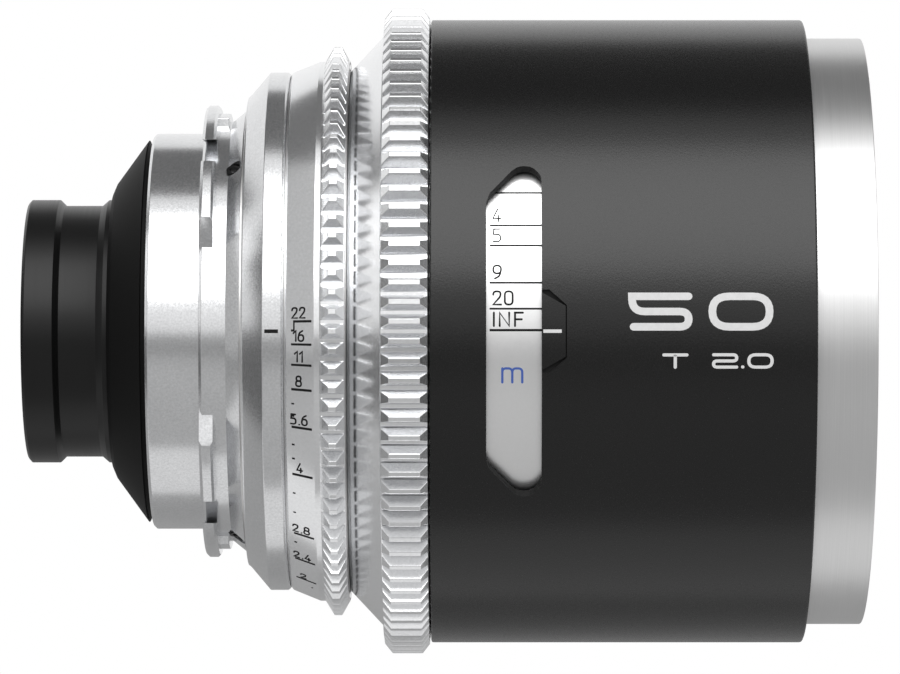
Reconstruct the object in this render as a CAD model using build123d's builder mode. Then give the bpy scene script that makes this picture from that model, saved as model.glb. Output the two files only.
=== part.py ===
from build123d import *
import os
from math import asin, copysign, cos, degrees, radians, sin, sqrt, tan

os.makedirs("parts", exist_ok=True)

# Cinema prime lens, 50 mm T2.0, at real size in millimetres.
# The X axis is the optical axis and points out of the front. Z is up.
# The origin is the centre of the mount's seating plane.
# Stored as photographed: focus at infinity, iris closed to its smallest stop.

# Fits shared by all pieces
running_fit = 0.05
moving_gap = 0.35
face_gap = 0.1
seat_slack = 0.04
overrun = 1.0

# Bayonet mount: the barrel is the standard size that the other radii are built on
mount_radius = 27.0
mount_barrel_length = 7.2
mount_wall = 2.6
mount_lead_chamfer = 0.4
flange_step = 1.65
flange_length = 3.6
seat_chamfer = 0.4
lug_step = 2.2
lug_thickness = 1.85
lug_bevel = 0.35
gap_floor_share = 0.38
gap_mouth_share = 0.493
index_notch_share = 0.845
index_notch_width = 3.0
index_notch_reach = 9.0
stop_pad_step = 1.1
stop_pad_length = 1.35
stop_pad_width = 14.0
collar_step = 1.5
collar_length = 1.85
mount_spigot_step = 0.15
mount_spigot_length = 2.75
shim_thickness = 0.25
shim_step = 0.3

# Set screws in the collar's cone
set_screw_count = 3
set_screw_angle = 132.0
set_screw_radius = 0.95
set_screw_margin = 0.2
set_screw_depth = 1.9
set_screw_sink = 0.45
set_screw_socket_radius = 0.6
set_screw_socket_depth = 0.8

# Light shield behind the mount
shield_nose_step = 2.25
shield_nose_length = 0.6
shield_edge_step = 0.85
shield_length = 4.95
shield_groove_step = 1.4
shield_groove_width = 0.65
shield_spigot_length = 3.2
shield_wall = 1.4

# Main barrel, the tube that carries every ring
barrel_step = 5.0
barrel_wall = 2.5
barrel_spigot_step = 1.2
barrel_flange_thickness = 3.2
barrel_setback = 5.0

# Index ring
index_cone_step = 3.3
index_ring_edge_length = 0.2
index_cone_length = 2.8
index_band_step = 0.85
index_band_length = 2.4
index_chamfer = 0.4

# Iris ring with its scale cone and its gear
gear_module = 0.8
pressure_angle = 20.0
iris_gear_step = 4.3
iris_gear_face = 1.0
iris_gear_bevel = 1.15
iris_scale_edge = 0.2
iris_scale_length = 3.65
iris_scale_step = 2.33
iris_scale_land = 0.7
iris_throw = 68.0
iris_retainer_step = 1.05
iris_retainer_length = 1.2

# Focus ring with its cone and its gear
focus_gear_step = 9.5
focus_gear_face = 4.05
focus_gear_bevel = 1.075
focus_gear_flank = 0.5
focus_rear_step = 1.1
focus_cone_length = 4.5
focus_cone_step = 5.85
focus_shoulder_length = 0.1
focus_throw = 225.0
focus_travel = 7.15

# Cam sleeve
cam_wall = 1.75
cam_journal_length = 3.4
cam_setback = 18.0
cam_groove_wall = 0.55
cam_groove_count = 3
cam_end_margin = 2.6

# Scale drum under the window
drum_wall = 1.3
drum_flange_length = 2.2
drum_length = 19.5

# Shroud and its window
shroud_step = 8.0
shroud_wall = 1.55
shroud_length = 50.4
shroud_edge = 0.2
shroud_lip_length = 2.8
window_setback = 7.35
window_width = 7.25
window_corner_angle = 24.5
window_apex_angle = 34.7
window_corner_radius = 1.4
window_apex_radius = 2.2
index_plate_length = 3.1
index_plate_rear_half = 5.1
index_plate_front_half = 3.3
index_plate_thickness = 0.8
index_plate_gap = 0.15

# Front ring and baffle
front_ring_step = 2.5
front_ring_length = 8.0
front_ring_edge = 0.4
front_ring_shoulder = 2.8
filter_thread_wall = 1.5
filter_thread_length = 5.0
front_wall = 3.4
baffle_rear_step = 4.4
baffle_front_step = 0.7
baffle_wall = 0.9
baffle_length = 7.1

# Optical block, which slides in the main barrel
tube_step = 2.0
tube_wall = 2.0
tube_front_wall = 3.5
tube_setback = 14.0
tube_land_length = 5.4
tube_waist_step = 0.6
tube_front_land_length = 7.0
follower_setback = 12.0
follower_land_share = 0.5
follower_guide_radius = 1.45
follower_roller_radius = 1.2
follower_first_angle = 90.0

# Rear cell with the long rear barrel
rear_barrel_radius = 17.95
rear_barrel_reach = 11.5
rear_barrel_edge = 0.4
rear_groove_start = 4.2
rear_groove_length = 5.0
rear_groove_depth = 0.8
rear_cone_length = 11.0
rear_cone_step = 2.0
rear_collar_length = 2.5
rear_flange_step = 0.4
rear_flange_length = 2.0
rear_spigot_length = 6.5
rear_cell_wall = 2.95
rear_element_inset = 2.3
rear_element_thickness = 4.6
rear_element_bulge = 0.8
rear_lip = 1.2
fourth_element_step = 8.0
fourth_element_thickness = 6.0
retaining_ring_length = 1.2

# Front cell
front_cell_depth = 27.0
front_cell_step = 1.0
front_cell_reach = 6.5
cell_lip = 1.2
third_element_step = 7.5
third_element_thickness = 6.0
third_cell_length = 9.0
second_element_step = 3.0
second_element_depth = 10.0
second_element_thickness = 5.0
front_element_step = 0.5
front_element_thickness = 2.6
front_element_bulge = 2.8
front_element_hollow = 1.0
front_retainer_step = 1.6
inner_bulge = 2.0

# Iris diaphragm
blade_count = 10
iris_depth = 36.0
iris_base_thickness = 1.4
iris_opening_step = 8.5
iris_closed_radius = 1.14
iris_opening_margin = 0.4
blade_width = 7.0
blade_pivot_step = 7.0
blade_lever = 7.5
blade_lever_angle = -98.0
blade_start_angle = -6.0
blade_end_angle = 112.0
blade_thickness = 0.2
blade_pin_radius = 0.5
blade_pivot_boss = 1.6
blade_drive_boss = 1.1
actuator_bore_step = 0.8
actuator_thickness = 2.4
slot_slack = 0.09
key_radius = 0.9
key_depth = 1.6
fork_angle = 64.0
fork_arc = 15.0
fork_gap = 0.3
fork_arm_thickness = 1.25
fork_leg_length = 3.0
fork_leg_setback = 1.5
fork_slot_margin = 0.4

# Radii of the mount and the shield, from the mount barrel outwards and inwards
mount_bore_radius = mount_radius - mount_wall
flange_radius = mount_radius + flange_step
lug_radius = flange_radius + lug_step
gap_floor_half_width = flange_radius * gap_floor_share
gap_mouth_half_width = lug_radius * gap_mouth_share
index_notch_height = flange_radius * index_notch_share
stop_pad_radius = flange_radius + stop_pad_step
collar_radius = flange_radius + collar_step
mount_spigot_radius = flange_radius - mount_spigot_step
shim_radius = collar_radius - shim_step
shield_bore_radius = rear_barrel_radius + moving_gap
shield_nose_radius = rear_barrel_radius + shield_nose_step
shield_cone_radius = mount_radius - shield_edge_step
shield_groove_radius = mount_radius - shield_groove_step

# Radii of the rings on the main barrel
barrel_bore_radius = mount_radius + barrel_step
barrel_radius = barrel_bore_radius + barrel_wall
barrel_spigot_radius = barrel_radius - barrel_spigot_step
ring_bore_radius = barrel_radius + running_fit
index_band_radius = barrel_radius + index_band_step
index_ring_edge_radius = index_band_radius - index_cone_step
iris_scale_radius = barrel_radius + iris_scale_step
iris_retainer_radius = barrel_radius + iris_retainer_step
iris_gear_teeth = round(2 * (barrel_radius + iris_gear_step) / gear_module) - 2
focus_gear_teeth = round(2 * (barrel_radius + focus_gear_step) / gear_module) - 2
focus_gear_root = gear_module * (focus_gear_teeth - 2.5) / 2
focus_rear_radius = barrel_radius + focus_rear_step
focus_cone_radius = barrel_radius + focus_cone_step
cam_bore_radius = barrel_radius + moving_gap
cam_radius = cam_bore_radius + cam_wall
shroud_radius = barrel_radius + shroud_step
shroud_bore_radius = shroud_radius - shroud_wall
drum_radius = shroud_bore_radius - moving_gap
front_ring_radius = shroud_radius - front_ring_step
filter_thread_radius = front_ring_radius - filter_thread_wall
front_bore_radius = front_ring_radius - front_wall
baffle_rear_radius = front_bore_radius - baffle_rear_step
baffle_front_radius = front_bore_radius - baffle_front_step

# Radii of the optical block in the main barrel's bore
land_radius = barrel_bore_radius - running_fit
tube_radius = barrel_bore_radius - tube_step
tube_bore_radius = tube_radius - tube_wall
tube_front_bore_radius = tube_radius - tube_front_wall
tube_waist_radius = barrel_bore_radius - tube_waist_step
rear_cone_radius = tube_bore_radius - rear_cone_step
rear_flange_radius = tube_radius - rear_flange_step
rear_element_radius = rear_barrel_radius - rear_cell_wall
fourth_element_radius = tube_bore_radius - fourth_element_step
front_cell_radius = barrel_bore_radius - front_cell_step
third_element_radius = tube_front_bore_radius - third_element_step
second_element_radius = tube_front_bore_radius - second_element_step
front_element_radius = tube_front_bore_radius - front_element_step
front_retainer_radius = front_element_radius + front_retainer_step
blade_pivot_radius = tube_bore_radius - blade_pivot_step
iris_open_radius = blade_pivot_radius - iris_opening_step
actuator_radius = tube_bore_radius - running_fit
actuator_bore_radius = blade_pivot_radius - actuator_bore_step
fork_inner_radius = tube_radius + moving_gap
fork_outer_radius = fork_inner_radius + fork_arm_thickness

# Places of the rings along the optical axis, from the mount forwards
collar_front = flange_length + collar_length
index_ring_rear = collar_front + shim_thickness
mount_spigot_front = collar_front + mount_spigot_length
index_cone_front = index_ring_rear + index_ring_edge_length + index_cone_length
index_band_front = index_cone_front + index_band_length
index_ring_front = index_band_front + index_chamfer
iris_ring_rear = index_ring_front + face_gap + running_fit
iris_scale_front = iris_ring_rear + iris_scale_edge + iris_scale_length
iris_gear_rear = iris_scale_front + iris_scale_land
iris_crest_rear = iris_gear_rear + iris_gear_bevel
iris_crest_front = iris_crest_rear + iris_gear_face
iris_ring_front = iris_crest_front + iris_gear_bevel
retainer_rear = iris_ring_front - iris_retainer_length + face_gap
retainer_front = retainer_rear + iris_retainer_length
focus_ring_rear = retainer_front + face_gap
focus_gear_rear = focus_ring_rear + focus_cone_length
focus_crest_rear = focus_gear_rear + focus_gear_bevel
focus_crest_front = focus_crest_rear + focus_gear_face
focus_shoulder = focus_crest_front + focus_gear_bevel
focus_ring_front = focus_shoulder + focus_shoulder_length
shroud_rear = focus_ring_front + face_gap
shroud_front = shroud_rear + shroud_length
shroud_lip_rear = shroud_front - shroud_lip_length
front_ring_front = shroud_front + front_ring_length
filter_thread_rear = front_ring_front - filter_thread_length
window_rear = shroud_rear + window_setback
window_front = window_rear + window_width
drum_front = focus_ring_front + drum_length
cam_rear = focus_ring_rear + focus_cone_length / 2
cam_front = shroud_front - cam_setback
barrel_rear = mount_spigot_front
barrel_flange_rear = cam_front + face_gap
barrel_flange_front = barrel_flange_rear + barrel_flange_thickness
barrel_front = shroud_front - barrel_setback

# Places of the optical block, from the shroud's front backwards
tube_front = shroud_front - tube_setback
follower_place = cam_front - follower_setback
tube_rear_land = follower_place - tube_land_length * follower_land_share
front_cell_rear = tube_front - front_cell_depth
front_cell_front = tube_front + front_cell_reach
second_element_place = tube_front - second_element_depth
iris_place = tube_front - iris_depth
tube_rear = iris_place - rear_spigot_length
rear_flange_rear = tube_rear - rear_flange_length
rear_cone_front = rear_flange_rear - rear_collar_length
rear_barrel_front = rear_cone_front - rear_cone_length
blade_layers_rear = iris_place + iris_base_thickness + face_gap
blade_pitch = blade_thickness + face_gap
actuator_rear = blade_layers_rear + blade_count * blade_pitch
actuator_front = actuator_rear + actuator_thickness
tube_shoulder = actuator_front + face_gap
key_place = (actuator_rear + actuator_front) / 2


def turned_face(*points, angle=90.0):
    """A lathe profile of (place along the axis, radius) pairs, in the plane at that angle."""
    outward = (0, -sin(radians(angle)), cos(radians(angle)))
    with BuildSketch(Plane(origin=(0, 0, 0), x_dir=(1, 0, 0), z_dir=outward)) as outline:
        with BuildLine():
            Polyline(*points, close=True)
        make_face()
    return outline.sketch


def radial_plane(place, angle, distance=0.0):
    """A plane square to a radius: its x runs along the optical axis, its normal outwards."""
    across = cos(radians(angle))
    up = sin(radians(angle))
    return Plane(
        origin=(place, distance * across, distance * up), x_dir=(1, 0, 0), z_dir=(0, across, up)
    )


def gear_blank(teeth, foot_radius, rear, crest_rear, crest_front, front):
    """The toothed part of a gear ring before its bore: every tooth has a flat crest."""
    sections = []
    for place, radius in (
        (rear, foot_radius),
        (crest_rear, gear_module * (teeth + 2) / 2),
        (crest_front, gear_module * (teeth + 2) / 2),
        (front, foot_radius),
    ):
        with BuildSketch(Plane.YZ.offset(place)) as section:
            RegularPolygon(radius, teeth, major_radius=False)
        sections.append(section.sketch)
    loft(sections, ruled=True)
    root = gear_module * (teeth - 2.5) / 2
    tip = gear_module * (teeth + 2) / 2 + overrun
    pitch_half_gap = gear_module * radians(180) / 4
    slope = tan(radians(pressure_angle))
    root_half = pitch_half_gap - (gear_module * teeth / 2 - root) * slope
    tip_half = pitch_half_gap + (tip - gear_module * teeth / 2) * slope
    with BuildSketch(Plane.YZ.offset(rear - overrun)) as gaps:
        with PolarLocations(0, teeth):
            Polygon((root, -root_half), (tip, -tip_half), (tip, tip_half), (root, root_half), align=None)
    extrude(gaps.sketch, amount=front - rear + 2 * overrun, mode=Mode.SUBTRACT)


def seat_rise(radius, seat_radius, bulge):
    """How far a convex face stands past its edge where the corner of its seat touches it."""
    sphere = (radius**2 + bulge**2) / (2 * bulge)
    return sqrt(sphere**2 - seat_radius**2) - sphere + bulge + seat_slack


def finish(piece, name):
    """Label a finished piece and write it to its file."""
    piece.part.label = name
    export_step(piece.part, f"parts/{name}.step")


# Bayonet mount: barrel, lugs with side gaps and index notches, stop pads and collar
with BuildPart() as lens_mount:
    lug_root_radius = flange_radius - overrun
    revolve(
        turned_face(
            (0, lug_root_radius),
            (0, lug_radius - seat_chamfer),
            (seat_chamfer, lug_radius),
            (lug_thickness - lug_bevel, lug_radius),
            (lug_thickness, lug_radius - lug_bevel),
            (lug_thickness, lug_root_radius),
        ),
        axis=Axis.X,
    )
    floor_side = sqrt(flange_radius**2 - gap_floor_half_width**2)
    mouth_side = sqrt(lug_radius**2 - gap_mouth_half_width**2)
    with BuildSketch(Plane.YZ) as lug_gaps:
        Polygon(
            (floor_side, gap_floor_half_width),
            (mouth_side, gap_mouth_half_width),
            (lug_radius + overrun, gap_mouth_half_width),
            (lug_radius + overrun, -gap_mouth_half_width),
            (mouth_side, -gap_mouth_half_width),
            (floor_side, -gap_floor_half_width),
            align=None,
        )
        mirror(about=Plane.YZ)
        with GridLocations(lug_radius + index_notch_reach, 2 * index_notch_height, 2, 2):
            Rectangle(2 * index_notch_reach, index_notch_width)
    extrude(amount=lug_thickness, mode=Mode.SUBTRACT)
    with BuildSketch(Plane.YZ.offset(lug_thickness)) as stop_pads:
        Circle(stop_pad_radius)
        Circle(lug_root_radius, mode=Mode.SUBTRACT)
        Rectangle(stop_pad_width, 2 * lug_radius, mode=Mode.INTERSECT)
    extrude(amount=stop_pad_length)
    revolve(
        turned_face(
            (-mount_barrel_length, mount_bore_radius),
            (-mount_barrel_length, mount_radius - mount_lead_chamfer),
            (mount_lead_chamfer - mount_barrel_length, mount_radius),
            (0, mount_radius),
            (0, flange_radius - seat_chamfer),
            (seat_chamfer, flange_radius),
            (flange_length, flange_radius),
            (collar_front, collar_radius),
            (collar_front, mount_spigot_radius),
            (mount_spigot_front, mount_spigot_radius),
            (mount_spigot_front, mount_bore_radius),
        ),
        axis=Axis.X,
    )
    screw_place = collar_front - set_screw_margin - set_screw_radius
    screw_top = (flange_radius + collar_radius) / 2 - set_screw_sink
    screw_foot = screw_top - set_screw_depth
    for turn in range(set_screw_count):
        screw_angle = set_screw_angle + turn * 360 / set_screw_count
        with BuildSketch(radial_plane(screw_place, screw_angle, screw_foot)):
            Circle(set_screw_radius)
        extrude(amount=set_screw_depth + set_screw_sink + overrun, mode=Mode.SUBTRACT)
finish(lens_mount, "lens_mount")

# Set screws with hexagon sockets, sunk a little under the collar's cone
with BuildPart() as mount_set_screws:
    for turn in range(set_screw_count):
        screw_angle = set_screw_angle + turn * 360 / set_screw_count
        with BuildSketch(radial_plane(screw_place, screw_angle, screw_foot)):
            Circle(set_screw_radius)
        extrude(amount=set_screw_depth)
        with BuildSketch(radial_plane(screw_place, screw_angle, screw_top)):
            RegularPolygon(set_screw_socket_radius, 6)
        extrude(amount=-set_screw_socket_depth, mode=Mode.SUBTRACT)
finish(mount_set_screws, "mount_set_screws")

# Light shield: a black cone, plugged into the mount's rear end
shield_cone_end = -mount_barrel_length - shield_groove_width
shield_rear = shield_cone_end - shield_length
with BuildPart() as light_shield:
    revolve(
        turned_face(
            (shield_rear, shield_bore_radius),
            (shield_rear + shield_nose_length, shield_nose_radius),
            (shield_cone_end, shield_cone_radius),
            (shield_cone_end, shield_groove_radius),
            (-mount_barrel_length, shield_groove_radius),
            (-mount_barrel_length, mount_bore_radius),
            (shield_spigot_length - mount_barrel_length, mount_bore_radius),
            (shield_spigot_length - mount_barrel_length, mount_bore_radius - shield_wall),
            (shield_cone_end, mount_bore_radius - shield_wall),
            (shield_rear + shield_wall, shield_bore_radius),
        ),
        axis=Axis.X,
    )
finish(light_shield, "light_shield")

# Back focus shim between the mount's collar and the index ring
with BuildPart() as back_focus_shim:
    with BuildSketch(Plane.YZ.offset(collar_front)):
        Circle(shim_radius)
        Circle(mount_spigot_radius, mode=Mode.SUBTRACT)
    extrude(amount=shim_thickness)
finish(back_focus_shim, "back_focus_shim")

# Index ring: cone and band beside the iris scale
with BuildPart() as index_ring:
    revolve(
        turned_face(
            (index_ring_rear, mount_spigot_radius),
            (index_ring_rear, index_ring_edge_radius),
            (index_ring_rear + index_ring_edge_length, index_ring_edge_radius),
            (index_cone_front, index_band_radius),
            (index_band_front, index_band_radius),
            (index_ring_front, index_band_radius - index_chamfer),
            (index_ring_front, barrel_spigot_radius),
            (mount_spigot_front, barrel_spigot_radius),
            (mount_spigot_front, mount_spigot_radius),
        ),
        axis=Axis.X,
    )
finish(index_ring, "index_ring")

# Main barrel: bore for the optical block, guide slots, iris window and front flange
with BuildPart() as main_barrel:
    revolve(
        turned_face(
            (barrel_rear, barrel_bore_radius),
            (barrel_rear, barrel_spigot_radius),
            (index_ring_front, barrel_spigot_radius),
            (index_ring_front, barrel_radius),
            (barrel_flange_rear, barrel_radius),
            (barrel_flange_rear, shroud_bore_radius),
            (barrel_flange_front, shroud_bore_radius),
            (barrel_flange_front, barrel_radius),
            (barrel_front, barrel_radius),
            (barrel_front, barrel_bore_radius),
        ),
        axis=Axis.X,
    )
    guide_slot_length = focus_travel + 2 * (follower_guide_radius + running_fit) + 2 * face_gap
    for turn in range(cam_groove_count):
        guide_angle = follower_first_angle + turn * 360 / cam_groove_count
        guide_place = follower_place + focus_travel / 2
        with BuildSketch(radial_plane(guide_place, guide_angle, barrel_bore_radius - overrun)):
            SlotOverall(guide_slot_length, 2 * (follower_guide_radius + running_fit))
        extrude(amount=barrel_radius - barrel_bore_radius + 2 * overrun, mode=Mode.SUBTRACT)
    fork_rear = iris_ring_rear + fork_leg_setback
    fork_margin_angle = degrees((fork_gap + moving_gap) / barrel_bore_radius)
    window_start = fork_angle - fork_arc / 2 - iris_throw - fork_margin_angle
    revolve(
        turned_face(
            (fork_rear - fork_gap, barrel_bore_radius - overrun),
            (fork_rear - fork_gap, barrel_radius + overrun),
            (fork_rear + fork_leg_length + fork_gap, barrel_radius + overrun),
            (fork_rear + fork_leg_length + fork_gap, barrel_bore_radius - overrun),
            angle=window_start,
        ),
        axis=Axis.X,
        revolution_arc=fork_arc + iris_throw + 2 * fork_margin_angle,
        mode=Mode.SUBTRACT,
    )
finish(main_barrel, "main_barrel")

# Iris ring: scale cone and gear, running on the main barrel
with BuildPart() as iris_ring:
    iris_recess_radius = iris_retainer_radius + moving_gap
    iris_recess_rear = retainer_rear - face_gap
    gear_blank(
        iris_gear_teeth,
        iris_scale_radius,
        iris_gear_rear,
        iris_crest_rear,
        iris_crest_front,
        iris_ring_front,
    )
    with BuildSketch(Plane.YZ.offset(iris_gear_rear)):
        Circle(iris_recess_radius)
    extrude(amount=iris_ring_front - iris_gear_rear, mode=Mode.SUBTRACT)
    revolve(
        turned_face(
            (iris_ring_rear, ring_bore_radius),
            (iris_ring_rear, index_band_radius - iris_scale_edge),
            (iris_ring_rear + iris_scale_edge, index_band_radius),
            (iris_scale_front, iris_scale_radius),
            (iris_gear_rear, iris_scale_radius),
            (iris_gear_rear, iris_recess_radius),
            (iris_recess_rear, iris_recess_radius),
            (iris_recess_rear, ring_bore_radius),
        ),
        axis=Axis.X,
    )
finish(iris_ring, "iris_ring")

# Retaining ring, fixed on the main barrel, that holds the iris ring back
with BuildPart() as iris_retaining_ring:
    with BuildSketch(Plane.YZ.offset(retainer_rear)):
        Circle(iris_retainer_radius)
        Circle(barrel_radius, mode=Mode.SUBTRACT)
    extrude(amount=iris_retainer_length)
finish(iris_retaining_ring, "iris_retaining_ring")

# Iris fork: a leg through the barrel's window and an arm along the optical tube
with BuildPart() as iris_fork:
    key_travel_front = key_place + focus_travel
    fork_front = key_travel_front + key_radius + 2 * fork_slot_margin
    revolve(
        turned_face(
            (fork_rear, fork_inner_radius),
            (fork_front, fork_inner_radius),
            (fork_front, fork_outer_radius),
            (fork_rear + fork_leg_length, fork_outer_radius),
            (fork_rear + fork_leg_length, ring_bore_radius),
            (fork_rear, ring_bore_radius),
            angle=fork_angle - fork_arc / 2,
        ),
        axis=Axis.X,
        revolution_arc=fork_arc,
    )
    fork_slot_rear = key_place - key_radius - fork_slot_margin
    fork_slot_length = fork_front - fork_slot_rear + overrun
    fork_slot_place = fork_slot_rear + fork_slot_length / 2
    with BuildSketch(radial_plane(fork_slot_place, fork_angle, fork_inner_radius - overrun)):
        Rectangle(fork_slot_length, 2 * (key_radius + running_fit))
    extrude(amount=fork_arm_thickness + 2 * overrun, mode=Mode.SUBTRACT)
finish(iris_fork, "iris_fork")

# Focus ring: cone and follow-focus gear, fixed on the cam sleeve
with BuildPart() as focus_ring:
    gear_blank(
        focus_gear_teeth,
        focus_gear_root + focus_gear_flank,
        focus_gear_rear,
        focus_crest_rear,
        focus_crest_front,
        focus_shoulder,
    )
    with BuildSketch(Plane.YZ.offset(focus_gear_rear)):
        Circle(cam_radius)
    extrude(amount=focus_shoulder - focus_gear_rear, mode=Mode.SUBTRACT)
    revolve(
        turned_face(
            (focus_ring_rear, cam_bore_radius),
            (focus_ring_rear, focus_rear_radius),
            (focus_gear_rear, focus_cone_radius),
            (focus_shoulder, focus_cone_radius),
            (focus_shoulder, focus_gear_root),
            (focus_ring_front, focus_gear_root),
            (focus_ring_front, cam_radius),
            (cam_rear, cam_radius),
            (cam_rear, cam_bore_radius),
        ),
        axis=Axis.X,
    )
finish(focus_ring, "focus_ring")

# Helical groove tool: the space that one roller sweeps through the cam sleeve.
# Seen from the sleeve, the roller moves forward while it turns back.
cam_lead = focus_travel * 360 / focus_throw
cam_margin_advance = focus_travel * cam_end_margin / focus_throw
groove_half_width = follower_roller_radius + running_fit
groove_outer_radius = cam_radius - cam_groove_wall
groove_inner_radius = cam_bore_radius - overrun
groove_path_radius = (groove_outer_radius + groove_inner_radius) / 2


def helical_groove(angle):
    """The groove that starts beside the follower at this angle."""
    start_angle = radians(angle + cam_end_margin)
    start_plane = Plane(
        origin=(follower_place - cam_margin_advance, 0, 0),
        x_dir=(0, cos(start_angle), sin(start_angle)),
        z_dir=(1, 0, 0),
    )
    height = focus_travel + 2 * cam_margin_advance
    path = start_plane * Helix(cam_lead, height, groove_path_radius, lefthand=True)
    section_plane = Plane(
        origin=path @ 0, x_dir=(0, cos(start_angle), sin(start_angle)), z_dir=path % 0
    )
    section = section_plane * Rectangle(
        groove_outer_radius - groove_inner_radius, 2 * groove_half_width
    )
    return sweep(section, path=path, is_frenet=True)


groove_tools = [
    helical_groove(follower_first_angle + turn * 360 / cam_groove_count)
    for turn in range(cam_groove_count)
]

# Cam sleeve: two journals on the main barrel and three helical grooves between them
with BuildPart() as cam_sleeve:
    revolve(
        turned_face(
            (cam_rear, ring_bore_radius),
            (cam_rear, cam_radius),
            (cam_front, cam_radius),
            (cam_front, ring_bore_radius),
            (cam_front - cam_journal_length, ring_bore_radius),
            (cam_front - cam_journal_length, cam_bore_radius),
            (cam_rear + cam_journal_length, cam_bore_radius),
            (cam_rear + cam_journal_length, ring_bore_radius),
        ),
        axis=Axis.X,
    )
    for tool in groove_tools:
        add(tool, mode=Mode.SUBTRACT)
finish(cam_sleeve, "cam_sleeve")

# Scale drum: turns with the focus ring, under the shroud's window
with BuildPart() as scale_drum:
    revolve(
        turned_face(
            (focus_ring_front, cam_radius),
            (focus_ring_front, drum_radius),
            (drum_front, drum_radius),
            (drum_front, drum_radius - drum_wall),
            (focus_ring_front + drum_flange_length, drum_radius - drum_wall),
            (focus_ring_front + drum_flange_length, cam_radius),
        ),
        axis=Axis.X,
    )
finish(scale_drum, "scale_drum")

# The window and the index plate are milled towards the axis, so each tool is a loft
# between two planes beside the axis, wider in the far one by the ratio of distances.
tool_near = shroud_bore_radius * cos(radians(window_apex_angle)) - overrun
tool_far = shroud_radius + overrun


def window_outline(distance):
    """The window's outline on the plane at this distance from the axis, towards the camera."""
    corner = distance * tan(radians(window_corner_angle))
    apex = distance * tan(radians(window_apex_angle))
    with BuildSketch(Plane.XZ.offset(distance)) as outline:
        Polygon(
            (window_rear, -corner),
            (window_front, -apex),
            (window_front, apex),
            (window_rear, corner),
            align=None,
        )
        corners = outline.vertices().group_by(Axis.X)
        fillet(corners[0], radius=window_corner_radius)
        fillet(corners[-1], radius=window_apex_radius)
    return outline.sketch


def plate_outline(distance, gap):
    """The index plate's outline, widened by the gap, on the plane at this distance."""
    rear_half = (index_plate_rear_half + gap) * distance / shroud_radius
    front_half = (index_plate_front_half + gap) * distance / shroud_radius
    with BuildSketch(Plane.XZ.offset(distance)) as outline:
        Polygon(
            (window_front - gap, -rear_half),
            (window_front + index_plate_length + gap, -front_half),
            (window_front + index_plate_length + gap, front_half),
            (window_front - gap, rear_half),
            align=None,
        )
    return outline.sketch


index_plate_floor = shroud_radius - index_plate_thickness
plate_band = ((window_rear, index_plate_floor), (window_rear, shroud_radius))
plate_band += ((drum_front, shroud_radius), (drum_front, index_plate_floor))

# Index plate: a thin insert beside the window
with BuildPart() as index_plate:
    revolve(turned_face(*plate_band), axis=Axis.X)
    plate_tool = loft(
        [plate_outline(tool_near, 0), plate_outline(tool_far, 0)], ruled=True, mode=Mode.PRIVATE
    )
    add(plate_tool, mode=Mode.INTERSECT)
finish(index_plate, "index_plate")

# Pocket that the index plate lies in
with BuildPart() as plate_pocket:
    revolve(
        turned_face(
            (window_rear, index_plate_floor),
            (window_rear, shroud_radius + overrun),
            (drum_front, shroud_radius + overrun),
            (drum_front, index_plate_floor),
        ),
        axis=Axis.X,
    )
    pocket_tool = loft(
        [plate_outline(tool_near, index_plate_gap), plate_outline(tool_far, index_plate_gap)],
        ruled=True,
        mode=Mode.PRIVATE,
    )
    add(pocket_tool, mode=Mode.INTERSECT)

# Shroud: the long black outer tube
with BuildPart() as shroud:
    revolve(
        turned_face(
            (shroud_rear, shroud_bore_radius),
            (shroud_rear, shroud_radius - shroud_edge),
            (shroud_rear + shroud_edge, shroud_radius),
            (shroud_front - shroud_edge, shroud_radius),
            (shroud_front, shroud_radius - shroud_edge),
            (shroud_front, front_ring_radius),
            (shroud_lip_rear, front_ring_radius),
            (shroud_lip_rear, shroud_bore_radius),
        ),
        axis=Axis.X,
    )
    window_tool = loft(
        [window_outline(tool_near), window_outline(tool_far)], ruled=True, mode=Mode.PRIVATE
    )
    add(window_tool, mode=Mode.SUBTRACT)
    add(plate_pocket.part, mode=Mode.SUBTRACT)
finish(shroud, "shroud")

# Front ring: silver, with the filter thread's bore
with BuildPart() as front_ring:
    shoulder_rear = shroud_lip_rear - front_ring_shoulder
    revolve(
        turned_face(
            (shoulder_rear, front_bore_radius),
            (shoulder_rear, shroud_bore_radius),
            (shroud_lip_rear, shroud_bore_radius),
            (shroud_lip_rear, front_ring_radius),
            (front_ring_front - front_ring_edge, front_ring_radius),
            (front_ring_front, front_ring_radius - front_ring_edge),
            (front_ring_front, filter_thread_radius),
            (filter_thread_rear, filter_thread_radius),
            (filter_thread_rear, front_bore_radius),
        ),
        axis=Axis.X,
    )
finish(front_ring, "front_ring")

# Front baffle: a black cone between the front ring and the moving front cell
with BuildPart() as front_baffle:
    baffle_rear = filter_thread_rear - baffle_length
    revolve(
        turned_face(
            (baffle_rear, baffle_rear_radius),
            (filter_thread_rear, baffle_front_radius),
            (filter_thread_rear, front_bore_radius),
            (baffle_rear + 2 * baffle_wall, front_bore_radius),
            (baffle_rear, baffle_rear_radius + baffle_wall),
        ),
        axis=Axis.X,
    )
finish(front_baffle, "front_baffle")

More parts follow.
